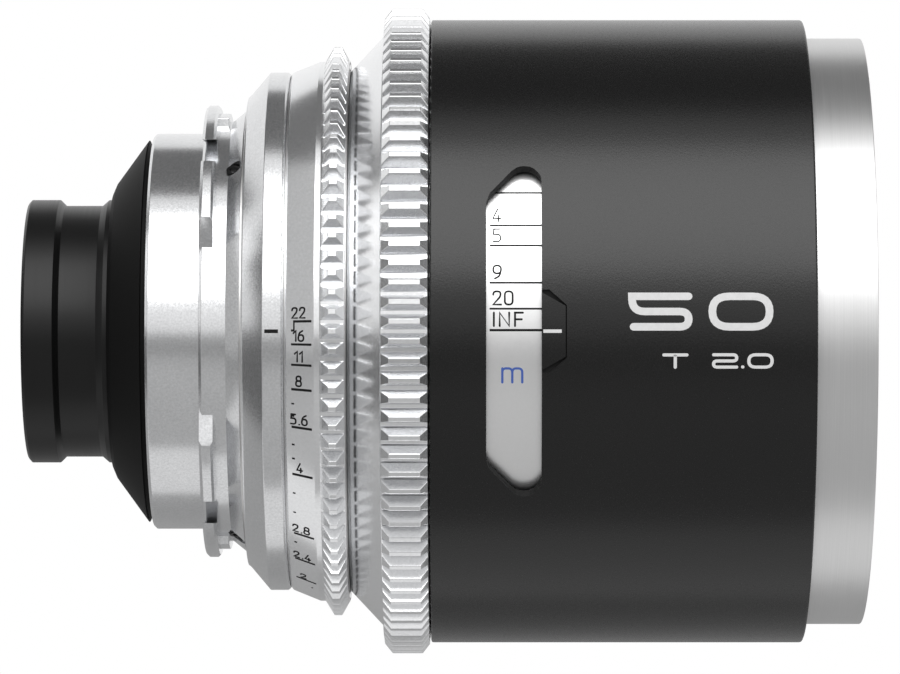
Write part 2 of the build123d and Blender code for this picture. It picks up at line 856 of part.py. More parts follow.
# Optical tube: two lands that slide in the main barrel, and the iris housing
with BuildPart() as optical_tube:
    revolve(
        turned_face(
            (tube_rear, tube_bore_radius),
            (tube_rear, tube_radius),
            (tube_rear_land, tube_radius),
            (tube_rear_land, land_radius),
            (tube_rear_land + tube_land_length, land_radius),
            (tube_rear_land + tube_land_length, tube_waist_radius),
            (tube_front - tube_front_land_length, tube_waist_radius),
            (tube_front - tube_front_land_length, land_radius),
            (tube_front, land_radius),
            (tube_front, tube_front_bore_radius),
            (tube_shoulder, tube_front_bore_radius),
            (tube_shoulder, tube_bore_radius),
        ),
        axis=Axis.X,
    )
    key_window_half = key_radius + 2 * face_gap
    key_window_margin = degrees((key_radius + moving_gap) / tube_bore_radius)
    revolve(
        turned_face(
            (key_place - key_window_half, tube_bore_radius - overrun),
            (key_place - key_window_half, tube_radius + overrun),
            (key_place + key_window_half, tube_radius + overrun),
            (key_place + key_window_half, tube_bore_radius - overrun),
            angle=fork_angle - iris_throw - key_window_margin,
        ),
        axis=Axis.X,
        revolution_arc=iris_throw + 2 * key_window_margin,
        mode=Mode.SUBTRACT,
    )
    for turn in range(cam_groove_count):
        pin_angle = follower_first_angle + turn * 360 / cam_groove_count
        with BuildSketch(radial_plane(follower_place, pin_angle, tube_front_bore_radius - overrun)):
            Circle(follower_roller_radius)
        extrude(amount=land_radius - tube_front_bore_radius + 2 * overrun, mode=Mode.SUBTRACT)
finish(optical_tube, "optical_tube")

# Cam followers: shank in the optical tube, guide in the straight slot, roller in the groove
with BuildPart() as cam_followers:
    guide_top_radius = (barrel_radius + cam_bore_radius) / 2
    for turn in range(cam_groove_count):
        pin_angle = follower_first_angle + turn * 360 / cam_groove_count
        with BuildSketch(radial_plane(follower_place, pin_angle, tube_front_bore_radius)):
            Circle(follower_roller_radius)
        extrude(amount=groove_outer_radius - 2 * running_fit - tube_front_bore_radius)
        with BuildSketch(radial_plane(follower_place, pin_angle, land_radius)):
            Circle(follower_guide_radius)
        extrude(amount=guide_top_radius - land_radius)
finish(cam_followers, "cam_followers")

# Rear cell: the long rear barrel, a cone and the flange that closes the optical tube
with BuildPart() as rear_cell:
    barrel_end = shield_rear - rear_barrel_reach
    groove_rear = barrel_end + rear_groove_start
    groove_front = groove_rear + 2 * rear_groove_depth + rear_groove_length
    rear_bore_radius = rear_barrel_radius - rear_cell_wall
    element_front = barrel_end + rear_element_inset + rear_element_thickness
    fourth_front = iris_place - 2 * retaining_ring_length
    fourth_rear = fourth_front - fourth_element_thickness
    rear_seat_radius = rear_element_radius - rear_lip
    fourth_seat_radius = fourth_element_radius - rear_lip
    revolve(
        turned_face(
            (barrel_end, rear_element_radius),
            (barrel_end, rear_barrel_radius - rear_barrel_edge),
            (barrel_end + rear_barrel_edge, rear_barrel_radius),
            (groove_rear, rear_barrel_radius),
            (groove_rear + rear_groove_depth, rear_barrel_radius - rear_groove_depth),
            (groove_front - rear_groove_depth, rear_barrel_radius - rear_groove_depth),
            (groove_front, rear_barrel_radius),
            (rear_barrel_front, rear_barrel_radius),
            (rear_cone_front, rear_cone_radius),
            (rear_flange_rear, rear_cone_radius),
            (rear_flange_rear, rear_flange_radius),
            (tube_rear, rear_flange_radius),
            (tube_rear, tube_bore_radius),
            (iris_place, tube_bore_radius),
            (iris_place, fourth_element_radius),
            (fourth_rear, fourth_element_radius),
            (fourth_rear, fourth_seat_radius),
            (rear_cone_front, fourth_seat_radius),
            (rear_barrel_front, rear_seat_radius),
            (element_front, rear_seat_radius),
            (element_front, rear_element_radius),
        ),
        axis=Axis.X,
    )
    rear_element_edge = element_front - seat_rise(rear_element_radius, rear_seat_radius, inner_bulge)
    fourth_edge = fourth_rear + seat_rise(fourth_element_radius, fourth_seat_radius, inner_bulge)
finish(rear_cell, "rear_cell")

# Rear retaining ring behind the rear element
with BuildPart() as rear_retaining_ring:
    rear_ring_front = rear_element_edge - rear_element_thickness
    rear_ring_front -= seat_rise(rear_element_radius, rear_seat_radius, rear_element_bulge)
    with BuildSketch(Plane.YZ.offset(rear_ring_front - retaining_ring_length)):
        Circle(rear_element_radius)
        Circle(rear_seat_radius, mode=Mode.SUBTRACT)
    extrude(amount=retaining_ring_length)
finish(rear_retaining_ring, "rear_retaining_ring")

# Front cell: stepped bores that widen to the front, each with its lens element
with BuildPart() as front_cell:
    third_rear = front_cell_rear + cell_lip
    third_front = third_rear + third_cell_length
    front_element_rear = tube_front + cell_lip
    front_element_edge = front_element_rear + front_element_thickness
    revolve(
        turned_face(
            (front_cell_rear, third_element_radius - cell_lip),
            (front_cell_rear, tube_front_bore_radius),
            (tube_front, tube_front_bore_radius),
            (tube_front, front_cell_radius),
            (front_cell_front, front_cell_radius),
            (front_cell_front, front_retainer_radius),
            (front_element_edge, front_retainer_radius),
            (front_element_edge, front_element_radius),
            (front_element_rear, front_element_radius),
            (front_element_rear, second_element_radius),
            (second_element_place, second_element_radius),
            (second_element_place, second_element_radius - cell_lip),
            (third_front, second_element_radius - cell_lip),
            (third_front, third_element_radius),
            (third_rear, third_element_radius),
            (third_rear, third_element_radius - cell_lip),
        ),
        axis=Axis.X,
    )
finish(front_cell, "front_cell")

# Front retaining ring over the front element
with BuildPart() as front_retaining_ring:
    front_seat_radius = front_element_radius - cell_lip
    front_ring_rear = front_element_edge
    front_ring_rear += seat_rise(front_element_radius, front_seat_radius, front_element_bulge)
    with BuildSketch(Plane.YZ.offset(front_ring_rear)):
        Circle(front_retainer_radius)
        Circle(front_seat_radius, mode=Mode.SUBTRACT)
    extrude(amount=retaining_ring_length)
finish(front_retaining_ring, "front_retaining_ring")


def glass_element(name, rear_edge, thickness, radius, rear_bulge, front_bulge):
    """A round lens element: a ground edge between two spherical faces.
    A bulge is how far a face stands out past its edge, less than zero where it is hollow."""
    blank_rear = rear_edge - (rear_bulge + overrun if rear_bulge > 0 else 0)
    blank_front = rear_edge + thickness + (front_bulge + overrun if front_bulge > 0 else 0)
    with BuildPart() as element:
        with BuildSketch(Plane.YZ.offset(blank_rear)):
            Circle(radius)
        extrude(amount=blank_front - blank_rear)
        for edge, bulge, outward in (
            (rear_edge, rear_bulge, -1),
            (rear_edge + thickness, front_bulge, 1),
        ):
            sphere = (radius**2 + bulge**2) / (2 * abs(bulge))
            shaping = Mode.INTERSECT if bulge > 0 else Mode.SUBTRACT
            centre = edge - outward * copysign(sphere - abs(bulge), bulge)
            with Locations((centre, 0, 0)):
                Sphere(sphere, rotation=(0, 0, 90), mode=shaping)
    finish(element, name)
    return element


# Lens elements from the rear to the front
rear_element = glass_element(
    "rear_element",
    rear_element_edge - rear_element_thickness,
    rear_element_thickness,
    rear_element_radius,
    rear_element_bulge,
    inner_bulge,
)
fourth_element = glass_element(
    "fourth_element",
    fourth_edge,
    fourth_element_thickness,
    fourth_element_radius,
    inner_bulge,
    -inner_bulge,
)
third_element = glass_element(
    "third_element",
    third_rear,
    third_element_thickness,
    third_element_radius,
    -inner_bulge,
    inner_bulge,
)
second_element = glass_element(
    "second_element",
    second_element_place,
    second_element_thickness,
    second_element_radius,
    -inner_bulge,
    inner_bulge,
)
front_element = glass_element(
    "front_element",
    front_element_rear,
    front_element_thickness,
    front_element_radius,
    -front_element_hollow,
    front_element_bulge,
)

# Iris base: plate with the opening and one pivot hole for each blade
with BuildPart() as iris_base:
    with BuildSketch(Plane.YZ.offset(iris_place)):
        Circle(tube_bore_radius)
        Circle(iris_open_radius + iris_opening_margin, mode=Mode.SUBTRACT)
        with PolarLocations(blade_pivot_radius, blade_count):
            Circle(blade_pin_radius + running_fit, mode=Mode.SUBTRACT)
    extrude(amount=iris_base_thickness)
finish(iris_base, "iris_base")

# Blade motion, seen in the first blade's own frame with its pivot on the first axis.
# The blade is drawn open, where its arc is centred on the opening, and stored closed.
blade_swing = 2 * asin((iris_open_radius - iris_closed_radius) / (2 * blade_pivot_radius))
drive_offset = (
    blade_lever * cos(radians(blade_lever_angle)),
    blade_lever * sin(radians(blade_lever_angle)),
)


def turned_point(point, angle):
    """The point turned about the origin by an angle in radians."""
    return (
        point[0] * cos(angle) - point[1] * sin(angle),
        point[0] * sin(angle) + point[1] * cos(angle),
    )


def drive_pin_point(opening_share):
    """Centre of the drive pin when the iris is open by this share of its range."""
    offset = turned_point(drive_offset, blade_swing * (1 - opening_share))
    return (blade_pivot_radius + offset[0], offset[1])


def slot_point(opening_share):
    """The same point seen from the actuator, which turns with the iris ring."""
    return turned_point(drive_pin_point(opening_share), radians(iris_throw) * opening_share)


# Actuator: ring with one cam slot for each blade's drive pin. The pin's true path stays
# within the slot's slack of the one arc through its two ends and its middle.
slot_arc = ThreePointArc(slot_point(0), slot_point(0.5), slot_point(1))
with BuildPart() as iris_actuator:
    with BuildSketch(Plane.YZ.offset(actuator_rear)):
        Circle(actuator_radius)
        Circle(actuator_bore_radius, mode=Mode.SUBTRACT)
        with PolarLocations(0, blade_count):
            SlotArc(slot_arc, 2 * (blade_pin_radius + slot_slack), mode=Mode.SUBTRACT)
    extrude(amount=actuator_thickness)
    with BuildSketch(radial_plane(key_place, fork_angle, actuator_radius - key_depth)):
        Circle(key_radius)
    extrude(amount=key_depth + overrun, mode=Mode.SUBTRACT)
finish(iris_actuator, "iris_actuator")

# Actuator key: radial pin that rides in the fork
with BuildPart() as actuator_key:
    with BuildSketch(radial_plane(key_place, fork_angle, actuator_radius - key_depth)):
        Circle(key_radius)
    extrude(amount=fork_outer_radius - fork_gap - actuator_radius + key_depth)
finish(actuator_key, "actuator_key")


def blade_outline():
    """One blade, drawn open: an arc-shaped leaf, a pivot boss and a drive lever."""
    start = radians(blade_start_angle)
    end = radians(blade_end_angle)
    middle = (start + end) / 2
    inner = iris_open_radius
    outer = iris_open_radius + blade_width
    pivot = (blade_pivot_radius, 0)
    drive = (pivot[0] + drive_offset[0], pivot[1] + drive_offset[1])
    with BuildSketch() as outline:
        with BuildLine():
            inner_arc = ThreePointArc(
                (inner * cos(start), inner * sin(start)),
                (inner * cos(middle), inner * sin(middle)),
                (inner * cos(end), inner * sin(end)),
            )
            outer_arc = ThreePointArc(
                (outer * cos(end), outer * sin(end)),
                (outer * cos(middle), outer * sin(middle)),
                (outer * cos(start), outer * sin(start)),
            )
            Line(inner_arc @ 1, outer_arc @ 0)
            Line(outer_arc @ 1, inner_arc @ 0)
        make_face()
        with Locations(pivot):
            Circle(blade_pivot_boss)
        with Locations((pivot[0] - blade_pivot_boss, 0)):
            Rectangle(2 * blade_pivot_boss, 2 * blade_pivot_boss)
        with Locations(drive):
            Circle(blade_drive_boss)
        with BuildLine():
            Line(pivot, drive)
        trace(line_width=2 * blade_drive_boss)
    return outline.sketch


to_pivot = Pos(blade_pivot_radius, 0, 0)
closed_outline = to_pivot * Rot(0, 0, degrees(blade_swing)) * to_pivot.inverse() * blade_outline()
closed_drive = drive_pin_point(0)

# Blades: each lies in its own layer, with its pivot pin in the base and its drive pin
# in the actuator. The bosses lie outside the sweep of the other blades' leaves.
for number in range(blade_count):
    layer = blade_layers_rear + number * blade_pitch
    turn = radians(360) * number / blade_count
    blade_frame = Plane(origin=(0, 0, 0), x_dir=(0, cos(turn), sin(turn)), z_dir=(1, 0, 0))
    with BuildPart() as iris_blade:
        with BuildSketch(blade_frame.offset(layer)):
            add(closed_outline)
        extrude(amount=blade_thickness)
        with BuildSketch(blade_frame.offset(iris_place + face_gap)):
            with Locations((blade_pivot_radius, 0)):
                Circle(blade_pin_radius)
        extrude(amount=layer - iris_place - face_gap + blade_thickness)
        with BuildSketch(blade_frame.offset(layer)):
            with Locations(closed_drive):
                Circle(blade_pin_radius)
        extrude(amount=actuator_front - face_gap - layer)
    finish(iris_blade, f"iris_blade_{number + 1:02d}")
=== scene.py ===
# %% [markdown]
# # A cinema prime lens, dressed for its portrait
#
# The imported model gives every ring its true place. In this lesson we turn new outer
# skins for it, cut the gear teeth, engrave the scales, and set up a plain product photo.
# Everything is in metres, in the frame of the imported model: X runs along the optical
# axis towards the front, Z is up, and the camera looks along Y.

from math import cos, hypot, pi, radians, sin, tan

import bpy
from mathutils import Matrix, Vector


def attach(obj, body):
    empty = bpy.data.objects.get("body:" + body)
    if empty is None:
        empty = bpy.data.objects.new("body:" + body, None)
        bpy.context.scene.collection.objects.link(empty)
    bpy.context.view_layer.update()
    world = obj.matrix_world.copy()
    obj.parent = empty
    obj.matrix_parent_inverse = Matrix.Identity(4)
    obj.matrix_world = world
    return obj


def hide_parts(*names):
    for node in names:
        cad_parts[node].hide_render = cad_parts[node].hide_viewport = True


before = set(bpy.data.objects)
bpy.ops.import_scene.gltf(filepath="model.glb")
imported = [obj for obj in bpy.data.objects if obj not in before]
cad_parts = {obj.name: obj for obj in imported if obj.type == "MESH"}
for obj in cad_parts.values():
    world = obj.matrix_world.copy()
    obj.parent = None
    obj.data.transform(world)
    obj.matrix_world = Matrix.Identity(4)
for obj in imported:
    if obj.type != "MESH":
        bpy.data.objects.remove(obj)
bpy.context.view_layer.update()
MM = 0.001

# %% [markdown]
# ## Working by hand, in code
#
# Blender's operators act on whatever is selected, just as they do under the mouse. So
# every piece starts with a clean selection. These helpers do what a modeller does a
# hundred times a day: let go of everything, pick one piece up, open it in edit mode,
# give it a name, and fix its place, turn and size into its mesh.

# %% Selection helpers
def clear_selection():
    """Leave edit mode and deselect every object."""
    if bpy.context.object and bpy.context.object.mode != "OBJECT":
        bpy.ops.object.mode_set(mode="OBJECT")
    bpy.ops.object.select_all(action="DESELECT")


def take(piece):
    """Make one piece the only selected and active one."""
    clear_selection()
    piece.select_set(True)
    bpy.context.view_layer.objects.active = piece


def edit(piece, kind="FACE"):
    """Open a piece in edit mode with nothing selected."""
    take(piece)
    bpy.ops.object.mode_set(mode="EDIT")
    bpy.ops.mesh.select_mode(type=kind)
    bpy.ops.mesh.select_all(action="DESELECT")


def name_piece(name):
    """Name the new active object and its mesh."""
    piece = bpy.context.object
    piece.name = name
    piece.data.name = name
    return piece


def settle():
    """Fix the place, turn and size of the active piece into its mesh."""
    bpy.ops.object.transform_apply(location=True, rotation=True, scale=True)


clear_selection()
print("selected after clearing:", len(bpy.context.selected_objects))

# %% [markdown]
# ## Drawing an outline
#
# A lathe tool follows a line, and so does a milling cutter. We draw that line as a
# modeller would: shrink a plane to one point, move it to the start, and extrude it from
# corner to corner. A curve object could do the same, but the points of a mesh can be
# filled, spun and extruded straight away.

# %% Draw an outline in the X-Z plane
WELD_REACH = 0.0005 * MM


def weld(reach=WELD_REACH):
    """Merge the points that lie on one another, and leave everything selected."""
    bpy.ops.mesh.select_all(action="SELECT")
    bpy.ops.mesh.remove_doubles(threshold=reach)
    bpy.ops.mesh.select_all(action="SELECT")


def draw_outline(name, points):
    """A closed outline through (X, Z) points in millimetres, left open in edit mode."""
    clear_selection()
    bpy.ops.mesh.primitive_plane_add(size=MM)
    piece = name_piece(name)
    bpy.ops.object.mode_set(mode="EDIT")
    bpy.ops.mesh.select_mode(type="VERT")
    bpy.ops.mesh.select_all(action="SELECT")
    bpy.ops.mesh.merge(type="CENTER")
    x, z = points[0]
    bpy.ops.transform.translate(value=(x * MM, 0, z * MM))
    for next_x, next_z in points[1:] + points[:1]:
        step = ((next_x - x) * MM, 0, (next_z - z) * MM)
        bpy.ops.mesh.extrude_region_move(TRANSFORM_OT_translate={"value": step})
        x, z = next_x, next_z
    weld()
    return piece


print("outline points closer than", WELD_REACH / MM, "mm become one")

# %% [markdown]
# ## Breaking the edges
#
# No machined edge is truly sharp: it is broken by a deburring tool, and the narrow band
# that is left catches the light. A bevel that acts only on sharp edges does this for a
# whole piece at once. Cones are flat across their width, so the smoothing stops at quite
# a small angle; a larger one would bend their reflections at the rim.

# %% Modifiers, broken edges and smooth surfaces
SHARP_ANGLE = 25
CREASE_ANGLE = 12


def use_modifier(piece, kind, **settings):
    """Add one modifier to a piece, set it up and apply it."""
    take(piece)
    modifier = piece.modifiers.new(kind.lower(), kind)
    for key, value in settings.items():
        setattr(modifier, key, value)
    bpy.ops.object.modifier_apply(modifier=modifier.name)
    return piece


def soften(piece, width, segments=2):
    """Bevel every sharp edge of a piece by a width in millimetres."""
    return use_modifier(
        piece,
        "BEVEL",
        width=width * MM,
        segments=segments,
        limit_method="ANGLE",
        angle_limit=radians(SHARP_ANGLE),
        use_clamp_overlap=True,
    )


def smooth(piece):
    """Smooth shading, with the edges sharper than the crease angle left crisp."""
    take(piece)
    bpy.ops.object.shade_smooth_by_angle(angle=radians(CREASE_ANGLE))
    return piece


print("bevels from", SHARP_ANGLE, "degrees up, creases from", CREASE_ANGLE, "degrees up")

# %% [markdown]
# ## Turning and cutting
#
# Nearly everything on a lens is turned on a lathe. In Blender the outline is spun about
# the optical axis, and the seam is welded. What a mill cuts away afterwards is taken out
# with a boolean, whose tool is thrown away like a chip.

# %% Turn a piece, cut a piece, add a block
TURN_STEPS = 256


def turn_piece(name, points, edge, steps=TURN_STEPS):
    """A lathe piece: the outline spun about the optical axis, with broken edges."""
    piece = draw_outline(name, points)
    bpy.ops.mesh.spin(
        steps=steps, angle=2 * pi, use_auto_merge=True, center=(0, 0, 0), axis=(1, 0, 0)
    )
    weld()
    bpy.ops.mesh.normals_make_consistent(inside=False)
    bpy.ops.object.mode_set(mode="OBJECT")
    if edge:
        soften(piece, edge)
    return smooth(piece)


def cut(piece, tool):
    """Cut the tool's shape out of a piece and throw the tool away."""
    use_modifier(piece, "BOOLEAN", operation="DIFFERENCE", solver="EXACT", object=tool)
    bpy.data.objects.remove(tool)
    return piece


def block(name, middle, size):
    """A box from its middle and its size, both in millimetres."""
    clear_selection()
    bpy.ops.mesh.primitive_cube_add(
        size=1, location=[part * MM for part in middle], scale=[part * MM for part in size]
    )
    made = name_piece(name)
    settle()
    return made


print("a turning of 80 mm has flats of", round(80 * pi / TURN_STEPS, 2), "mm")

# %% [markdown]
# ## Handing a piece over
#
# Every new piece rides on a body of the imported model, so that it turns or slides with
# it. A skin also replaces the node that it was made after, and that node is hidden. As a
# check, each piece reports its size when it is handed over. The packed shroud is
# measured first; the new one should come out just as large.

# %% Ride on a body, stand for a node
def measure(piece):
    """Print how large a piece is along X, Y and Z, and how many faces it has."""
    places = [vertex.co / MM for vertex in piece.data.vertices]
    spans = [max(row) - min(row) for row in zip(*places)]
    print(piece.name, "%.2f x %.2f x %.2f mm," % tuple(spans), len(piece.data.polygons), "faces")


def ride_on(piece, body):
    """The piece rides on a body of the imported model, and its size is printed."""
    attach(piece, body)
    measure(piece)


def stand_for(piece, body, node):
    """The piece rides on a body and replaces a node, which is hidden; its size is printed."""
    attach(piece, body)
    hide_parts(node)
    measure(piece)


measure(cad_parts["shroud"])

# %% [markdown]
# ## Shader maths as plain expressions
#
# A finish is a small sum of noises. Wiring it with numbers and operators keeps it
# readable: `Amount` wraps one socket, and each operator adds the Math node it stands for.

# %% An amount that varies
class Amount:
    """A number that varies over the surface."""

    def __init__(self, finish, socket):
        self.finish = finish
        self.socket = socket

    def math(self, operation, other):
        return self.finish.node("ShaderNodeMath", {"operation": operation}, self, other)

    def __add__(self, other):
        return self.math("ADD", other)

    def __mul__(self, other):
        return self.math("MULTIPLY", other)

    def __sub__(self, other):
        return self.math("SUBTRACT", other)

    def __rsub__(self, other):
        return self.finish.node("ShaderNodeMath", {"operation": "SUBTRACT"}, other, self)

    __radd__ = __add__
    __rmul__ = __mul__


print("operators wired so far: + - *")

# %% [markdown]
# A finish is one material with a Principled shader. Its plain values are set on the
# shader's own sockets. The noise is laid out in the object's own coordinates, because
# turned pieces have no unwrapped surface to paint on.

# %% The finish helper
class Finish:
    """One material: a Principled shader, and the nodes that vary it."""

    def __init__(self, name, **constants):
        self.material = bpy.data.materials.new(name)
        self.material.use_nodes = True
        self.tree = self.material.node_tree
        self.shader = self.tree.nodes["Principled BSDF"]
        for key, value in constants.items():
            title = key.replace("_", " ").title().replace("Ior", "IOR")
            self.shader.inputs[title].default_value = value
        self.place = self.node("ShaderNodeTexCoord", {}, output="Object").socket

    def node(self, kind, settings, *values, output=0, **named):
        """Add a node, feed its inputs by order or by name, and return one output."""
        made = self.tree.nodes.new(kind)
        for key, value in settings.items():
            setattr(made, key, value)
        pairs = list(zip(made.inputs, values))
        pairs += [(made.inputs[key.replace("_", " ")], value) for key, value in named.items()]
        for socket, value in pairs:
            self.feed(socket, value)
        return Amount(self, made.outputs[output])

    def feed(self, socket, value):
        """Link a socket to an amount, or give it a plain value."""
        if isinstance(value, Amount):
            value = value.socket
        if isinstance(value, bpy.types.NodeSocket):
            self.tree.links.new(value, socket)
        else:
            socket.default_value = value

    def noise(self, scale, detail=2.0, stretch=(1, 1, 1)):
        """Soft noise from 0 to 1; the scale is in features per metre."""
        stretched = self.node("ShaderNodeMapping", {}, Vector=self.place, Scale=stretch).socket
        return self.node("ShaderNodeTexNoise", {}, Vector=stretched, Scale=scale, Detail=detail)

    def set_colour(self, amount, low, high):
        """A base colour between two, by an amount."""
        mixed = self.node("ShaderNodeMix", {"data_type": "RGBA"}, output=2)
        mix = mixed.socket.node
        factor, first, second = mix.inputs[0], mix.inputs[6], mix.inputs[7]
        self.feed(factor, amount)
        self.feed(first, low)
        self.feed(second, high)
        self.feed(self.shader.inputs["Base Color"], mixed)

    def set_roughness(self, amount):
        self.feed(self.shader.inputs["Roughness"], amount)

    def bump(self, height, depth):
        """Relief: the height is 0 to 1, the depth is in metres."""
        made = self.node("ShaderNodeBump", {}, Strength=1.0, Distance=depth, Height=height)
        self.feed(self.shader.inputs["Normal"], made.socket.node.outputs["Normal"])


def grey(level):
    return (level, level, level, 1)


def dress(piece, finish):
    """Put one finish on a piece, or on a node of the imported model."""
    piece.data.materials.clear()
    piece.data.materials.append(finish.material)


def show(*finishes):
    """Print what each finish is made of."""
    for finish in finishes:
        print("finish", finish.material.name, "has", len(finish.tree.nodes), "nodes")


# %% [markdown]
# ## Silver metal
#
# The mount and the index ring have a fine, even silver surface: it is a metal with quite
# a low roughness, and a fine grain in its colour and its relief. The grain breaks each
# reflection up a little, as on the real rings, where a plain mirror would look like
# chrome. The geared rings are blasted with finer beads and come out paler.

# %% Silver finishes
silver = Finish("silver_anodised", metallic=1.0, roughness=0.34)
grain = silver.noise(3600, 3)
cloud = silver.noise(120, 2)
# Mostly grain, with a little cloud, brought back to the middle of the scale
tone = 0.35 * cloud + 1.3 * grain - 0.32
silver.set_colour(tone, (0.58, 0.585, 0.595, 1), (0.82, 0.825, 0.835, 1))
silver.set_roughness(0.14 + 0.10 * grain)
silver.bump(grain, 0.004 * MM)

blasted = Finish("silver_blasted", metallic=1.0, roughness=0.5)
pits = blasted.noise(3000, 3)
blasted.set_colour(pits, (0.74, 0.745, 0.755, 1), (0.90, 0.905, 0.915, 1))
blasted.set_roughness(0.15 + 0.09 * pits)
blasted.bump(pits, 0.003 * MM)
show(silver, blasted)

# %% [markdown]
# The front ring is turned, not blasted: its tool marks are rings round the axis. Noise
# that is squeezed along the axis, and left wide across it, makes such lines.

# %% Turned silver
turned = Finish("turned_aluminium", metallic=1.0, roughness=0.30)
lines = turned.noise(60, 4, stretch=(260, 1, 1))
speck = turned.noise(7000, 2)
turned.set_colour(lines, grey(0.60), grey(0.74))
turned.set_roughness(0.26 + 0.14 * lines)
turned.bump(0.8 * lines + 0.2 * speck, 0.010 * MM)
show(turned)

# %% [markdown]
# ## Black anodising
#
# The shroud is blasted before it is dyed, so it looks like very fine sandpaper: nearly
# black, with a soft sheen. The rear barrel is turned and dyed, and its rings show. The
# light shield is duller than both, and the inside is the dullest of all, so that no
# stray light comes back from it. The colours are kept near zero, because the sheen of
# the shader adds its own light on top of them.

# %% Black finishes
shroud_black = Finish("black_blasted", metallic=0.0, roughness=0.4, specular_ior_level=0.45)
sand = shroud_black.noise(4200, 3)
shade = shroud_black.noise(60, 2)
shroud_black.set_colour(shade, grey(0.001), grey(0.003))
shroud_black.set_roughness(0.18 + 0.16 * sand)
shroud_black.bump(sand, 0.012 * MM)

turned_black = Finish("black_turned", metallic=0.0, roughness=0.35, specular_ior_level=0.3)
rings = turned_black.noise(60, 3, stretch=(200, 1, 1))
turned_black.set_colour(rings, grey(0.002), grey(0.005))
turned_black.set_roughness(0.28 + 0.14 * rings)
turned_black.bump(rings, 0.006 * MM)

shield_black = Finish("black_matt", metallic=0.0, roughness=0.6, specular_ior_level=0.15)
soot = shield_black.noise(3000, 2)
shield_black.set_colour(soot, grey(0.002), grey(0.004))
shield_black.bump(soot, 0.01 * MM)

inner_black = Finish("black_inside", metallic=0.0, roughness=0.7, specular_ior_level=0.3)
dust = inner_black.noise(4000, 2)
inner_black.set_colour(dust, grey(0.005), grey(0.012))
show(shroud_black, turned_black, shield_black, inner_black)

# %% [markdown]
# ## Steel, brass, glass and the drum
#
# The shim and the small key are steel, the cam followers are brass: both are metals
# whose colour wanders a little. The lenses are clear glass with the faint tint of their
# coating. The distance drum is pale, smooth and even, so that its numbers read well.

# %% Steel, brass, glass and drum
steel = Finish("stainless_steel", metallic=1.0, roughness=0.28)
swirl = steel.noise(70, 4, stretch=(220, 1, 1))
steel.set_colour(swirl, (0.60, 0.595, 0.585, 1), (0.70, 0.695, 0.685, 1))
steel.set_roughness(0.22 + 0.14 * swirl)
steel.bump(swirl, 0.008 * MM)

brass = Finish("brass", metallic=1.0, roughness=0.3)
tarnish = brass.noise(300, 3)
brass.set_colour(tarnish, (0.70, 0.52, 0.25, 1), (0.76, 0.60, 0.34, 1))

glass = Finish("coated_glass", transmission_weight=1.0, roughness=0.0, ior=1.6)
haze = glass.noise(40, 2)
glass.set_colour(haze, (0.93, 0.97, 0.99, 1), (0.97, 0.95, 1.0, 1))

drum_pale = Finish("drum_pale", metallic=1.0, roughness=0.4)
mist = drum_pale.noise(2500, 2)
drum_pale.set_colour(mist, grey(0.84), grey(0.88))
drum_pale.set_roughness(0.26 + 0.06 * mist)
show(steel, brass, glass, drum_pale)

# %% [markdown]
# The marks are engraved and filled with paint. Paint in a groove is matt and never quite
# even, so each colour fades a little towards a darker one.

# %% Paint for the marks
def paint(name, colour):
    """A filled engraving: thin paint with a slightly uneven surface."""
    made = Finish(name, metallic=0.0, roughness=0.6, specular_ior_level=0.2)
    darker = tuple(0.85 * part for part in colour[:3]) + (1,)
    made.set_colour(made.noise(1500, 2), darker, colour)
    return made


black_paint = paint("black_paint", grey(0.006))
white_paint = paint("white_paint", grey(0.92))
blue_paint = paint("blue_paint", (0.08, 0.16, 0.55, 1))
show(black_paint, white_paint, blue_paint)

# %% [markdown]
# ## The pieces inside
#
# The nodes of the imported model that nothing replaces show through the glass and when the
# rings turn. They keep their shapes and are only dressed, each by what it is made of.

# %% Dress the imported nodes
BLACK_INSIDE = (
    "optical_tube",
    "front_cell",
    "front_retaining_ring",
    "rear_retaining_ring",
    "iris_base",
    "iris_actuator",
)
BARE_ALUMINIUM = ("main_barrel", "cam_sleeve", "iris_retaining_ring", "iris_fork")
for node_name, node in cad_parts.items():
    if node_name.startswith("iris_blade") or node_name in BLACK_INSIDE:
        dress(node, inner_black)
    elif node_name.endswith("element"):
        dress(node, glass)
    elif node_name == "cam_followers":
        dress(node, brass)
    elif node_name in BARE_ALUMINIUM:
        dress(node, turned)
    elif node_name in ("back_focus_shim", "actuator_key"):
        dress(node, steel)
    else:
        dress(node, turned_black)
print("dressed", len(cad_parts), "nodes of the packed model")

# %% [markdown]
# ## The front ring
#
# An 80 mm silver ring closes the front. Its edges are broken, and inside it lies the
# filter thread. A true helix would need a sweep; at this size a row of small ridges in
# the outline, spun with the rest, can't be told from it.

# %% Front ring
THREAD_RIDGES = 6
THREAD_PITCH = 0.75
thread = []
for ridge in range(THREAD_RIDGES):
    back = ridge * THREAD_PITCH
    thread += [(88.6 - back, 38.1), (88.3 - back, 38.5)]
front_ring = turn_piece(
    "front_ring_turned",
    [(74, 36.6), (74, 41.0), (78.2, 41.0), (78.2, 40.0), (89.0, 40.0), (89.0, 38.5)]
    + thread
    + [(84.0, 38.2), (84.0, 36.6)],
    edge=0.1,
)
stand_for(front_ring, "lens_body", "front_ring")
dress(front_ring, turned)

# %% [markdown]
# ## The front baffle
#
# Light that strikes the inside of the front must not reach the glass as a flare, so the
# cone is cut with fine steps and dyed black. The steps are corners in the outline, each
# one a little further forward and outward than the last.

